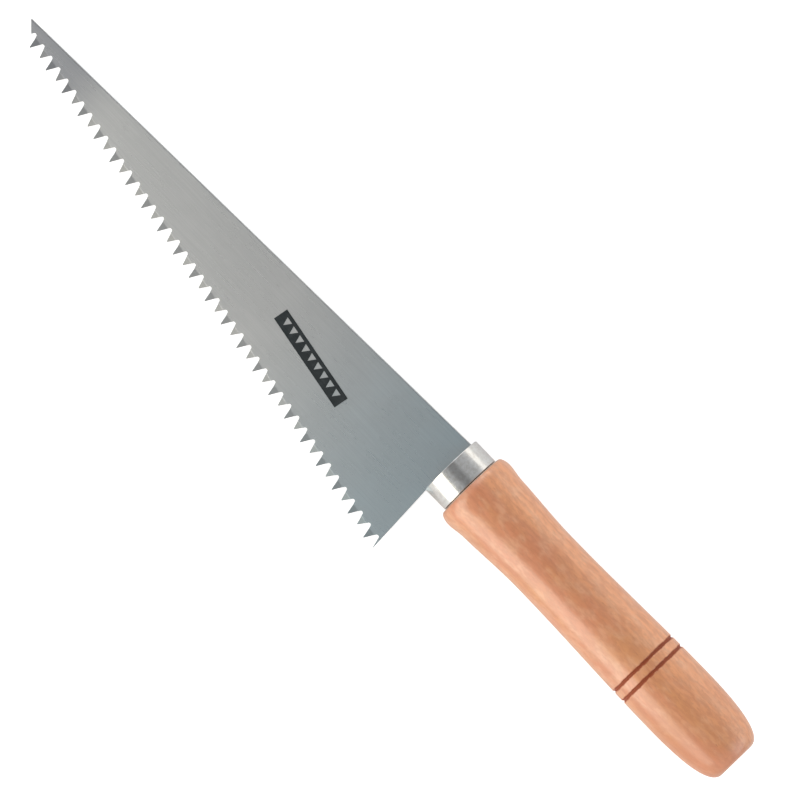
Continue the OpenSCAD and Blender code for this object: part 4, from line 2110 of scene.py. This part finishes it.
@dataclass
class Studio:
    """A glowing pale table, soft lights on both sides of the handle, and a camera straight above.

    The room is darkest overhead, where the camera hangs, and brightest low down at the sides.

    Attributes:
        floor_size: Width of the table.
        floor_colour: Colour of the table.
        floor_roughness: Roughness of the table.
        floor_specular: Specular level of the table.
        floor_glow: How much the table glows.
        seen_glow: How much more it glows where the camera sees it straight.
        room_tint: Tint of the room's light.
        backdrop: Colour that the camera sees past the table.
        overhead: Light from overhead.
        overhead_edge: Where it changes to the upper light, in degrees from straight up.
        upper_room: Light from the room's upper part.
        lower_edge: Where that changes to the lower light, in degrees from straight up.
        lower_room: Light from the room's lower part.
        end_edge: Where the ends' light starts and is full, 1 being straight along the saw.
        end_room: How much lighter the two ends are.
        back_edge: Where the back corners' light starts and is full, 1 being straight across.
        back_corners: How much lighter the back corners are.
        lens: Focal length of the camera, in millimetres.
        sensor: Width of its sensor, in millimetres.
        field_width: Width of the field that it sees.
        field_offset: Where the field's middle stands from the origin of the saw's own axes.
        turn_degrees: Turn of the camera about the vertical.
        softboxes: The soft lights.
    """

    floor_size: float = 12.0
    floor_colour: Colour = (0.78, 0.78, 0.78, 1.0)
    floor_roughness: float = 0.85
    floor_specular: float = 0.1
    floor_glow: float = 0.14
    seen_glow: float = 0.55
    room_tint: Colour = (0.95, 0.98, 1.0, 1.0)
    backdrop: Colour = (0.97, 0.97, 0.97, 1.0)
    overhead: float = 0.235
    overhead_edge: tuple[float, float] = (8.0, 24.0)
    upper_room: float = 0.435
    lower_edge: tuple[float, float] = (46.0, 66.0)
    lower_room: float = 0.62
    end_edge: tuple[float, float] = (0.35, 0.75)
    end_room: float = 0.38
    back_edge: tuple[float, float] = (-0.1, 0.35)
    back_corners: float = 1.0
    lens: float = 400.0
    sensor: float = 36.0
    field_width: float = 0.2368
    field_offset: tuple[float, float] = (-0.03294, 0.00265)
    turn_degrees: float = 45.94
    softboxes: tuple[Softbox, ...] = (
        Softbox("teeth_side_softbox", 68.0, 0.0, 0.80, (1.20, 0.62), -24.0, 5.3, (1.0, 0.965, 0.84)),
        Softbox("back_side_softbox", 82.0, 180.0, 0.80, (1.80, 0.34), 0.0, 1.15, (1.0, 0.95, 0.83)),
    )

    def floor(self) -> bpy.types.Object:
        """Lays the table's top, which glows a little.

        Returns:
            The table's top.
        """
        half = self.floor_size / 2
        signs = ((-1, -1), (1, -1), (1, 1), (-1, 1))
        corners = [Vector((x * half, y * half, 0.0)) for x, y in signs]
        floor = new_object("floor", new_mesh("floor", corners, [(0, 1, 2, 3)]))
        material = bpy.data.materials.new("pale_floor")
        material.use_nodes = True
        w = Wiring(material.node_tree)
        shader = w.tree.nodes["Principled BSDF"]
        w.feed(shader.inputs["Base Color"], self.floor_colour)
        w.feed(shader.inputs["Roughness"], self.floor_roughness)
        w.feed(shader.inputs["Specular IOR Level"], self.floor_specular)
        w.feed(shader.inputs["Emission Color"], (1.0, 1.0, 1.0, 1.0))
        seen = w.node("ShaderNodeLightPath").outputs["Is Camera Ray"]
        w.feed(shader.inputs["Emission Strength"], w.times_plus(seen, self.seen_glow, self.floor_glow))
        floor.data.materials.append(material)
        floor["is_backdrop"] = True
        return floor

    def sky(self) -> None:
        """Sets the light of the room, and a plain backdrop for the camera."""
        world = bpy.data.worlds.new("pale_room")
        world.use_nodes = True
        w = Wiring(world.node_tree)
        toward = w.node("ShaderNodeTexCoord").outputs["Generated"]
        endways, sideways, up = w.parts(toward)
        lean = w.over(w.math("ARCTAN2", w.math("ABSOLUTE", sideways), up), math.radians(1))
        upper = w.span(lean, *self.overhead_edge, self.overhead, self.upper_room)
        lower = w.span(lean, *self.lower_edge, 0.0, self.lower_room - self.upper_room)
        ends = w.span(w.math("ABSOLUTE", endways), *self.end_edge)
        corners = w.plus(w.span(sideways, *self.back_edge, 0.0, self.back_corners), self.end_room)
        level = w.times_plus(ends, corners, w.plus(upper, lower))
        light = w.node("ShaderNodeVectorMath", {0: self.room_tint[:3], "Scale": level}, operation="SCALE")
        seen = w.node("ShaderNodeLightPath").outputs["Is Camera Ray"]
        colour = w.mix(seen, light.outputs["Vector"], self.backdrop)
        w.feed(world.node_tree.nodes["Background"].inputs["Color"], colour)
        bpy.context.scene.world = world

    def camera(self, saw: Vector, height: float) -> bpy.types.Object:
        """Hangs the camera straight above the saw.

        Args:
            saw: The origin of the saw's own axes.
            height: The height that the field's width is measured at.

        Returns:
            The camera.
        """
        data = bpy.data.cameras.new("overhead_camera")
        data.lens, data.sensor_width = self.lens, self.sensor
        reach = self.field_width * self.lens / self.sensor
        data.clip_start, data.clip_end = reach / 100, reach * 10
        camera = new_object("overhead_camera", data)
        along, across = self.field_offset
        camera.location = (saw.x + along, saw.y + across, height + reach)
        camera.rotation_euler = (0.0, 0.0, math.radians(self.turn_degrees))
        bpy.context.scene.camera = camera
        return camera

    def build(self, lie: Lie, low: Vector, high: Vector) -> None:
        """Builds the studio round the saw.

        Args:
            lie: How the saw lies.
            low: Lowest corner of the saw's box.
            high: Highest corner of the saw's box.
        """
        self.floor()
        self.sky()
        middle = (low + high) / 2
        for softbox in self.softboxes:
            softbox.build(middle)
        self.camera(lie.matrix.to_translation(), middle.z)
        bpy.context.scene.view_settings.view_transform = "Standard"


# --- the whole saw ---


def report(piece: bpy.types.Object) -> None:
    """Reports a piece's size and how many faces it has."""
    size = [round(side / MM, 2) for side in piece.dimensions]
    LOG.info("%s: %s mm, %d faces", piece.name, size, len(piece.data.polygons))


def main() -> None:
    """Builds the saw round the frame, then the studio."""
    logging.basicConfig(level=logging.INFO, format="%(name)s: %(message)s")
    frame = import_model()
    cad_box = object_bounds()
    ferrule, handle = Ferrule(), Handle()
    blade = Blade(mouth=ferrule.mouth, ferrule_radius=ferrule.radius)
    lie = Lie.from_frame(frame, handle.length)
    effects = Effects()
    lathe, tooth_line = turning_tree(), tooth_line_tree()
    pieces = [
        blade.build(lie, effects, tooth_line),
        ferrule.build(lie, effects, lathe),
        handle.build(lie, effects, lathe, ferrule, blade),
        dress_node(frame["nodes"]["blade_mark"], PrintInk().material(lie, effects)),
        dress_node(frame["nodes"]["tang_adhesive"], CuredResin().material(lie, effects)),
    ]
    for piece in pieces:
        report(piece)
    Studio().build(lie, *cad_box)


if __name__ == "__main__":
    main()
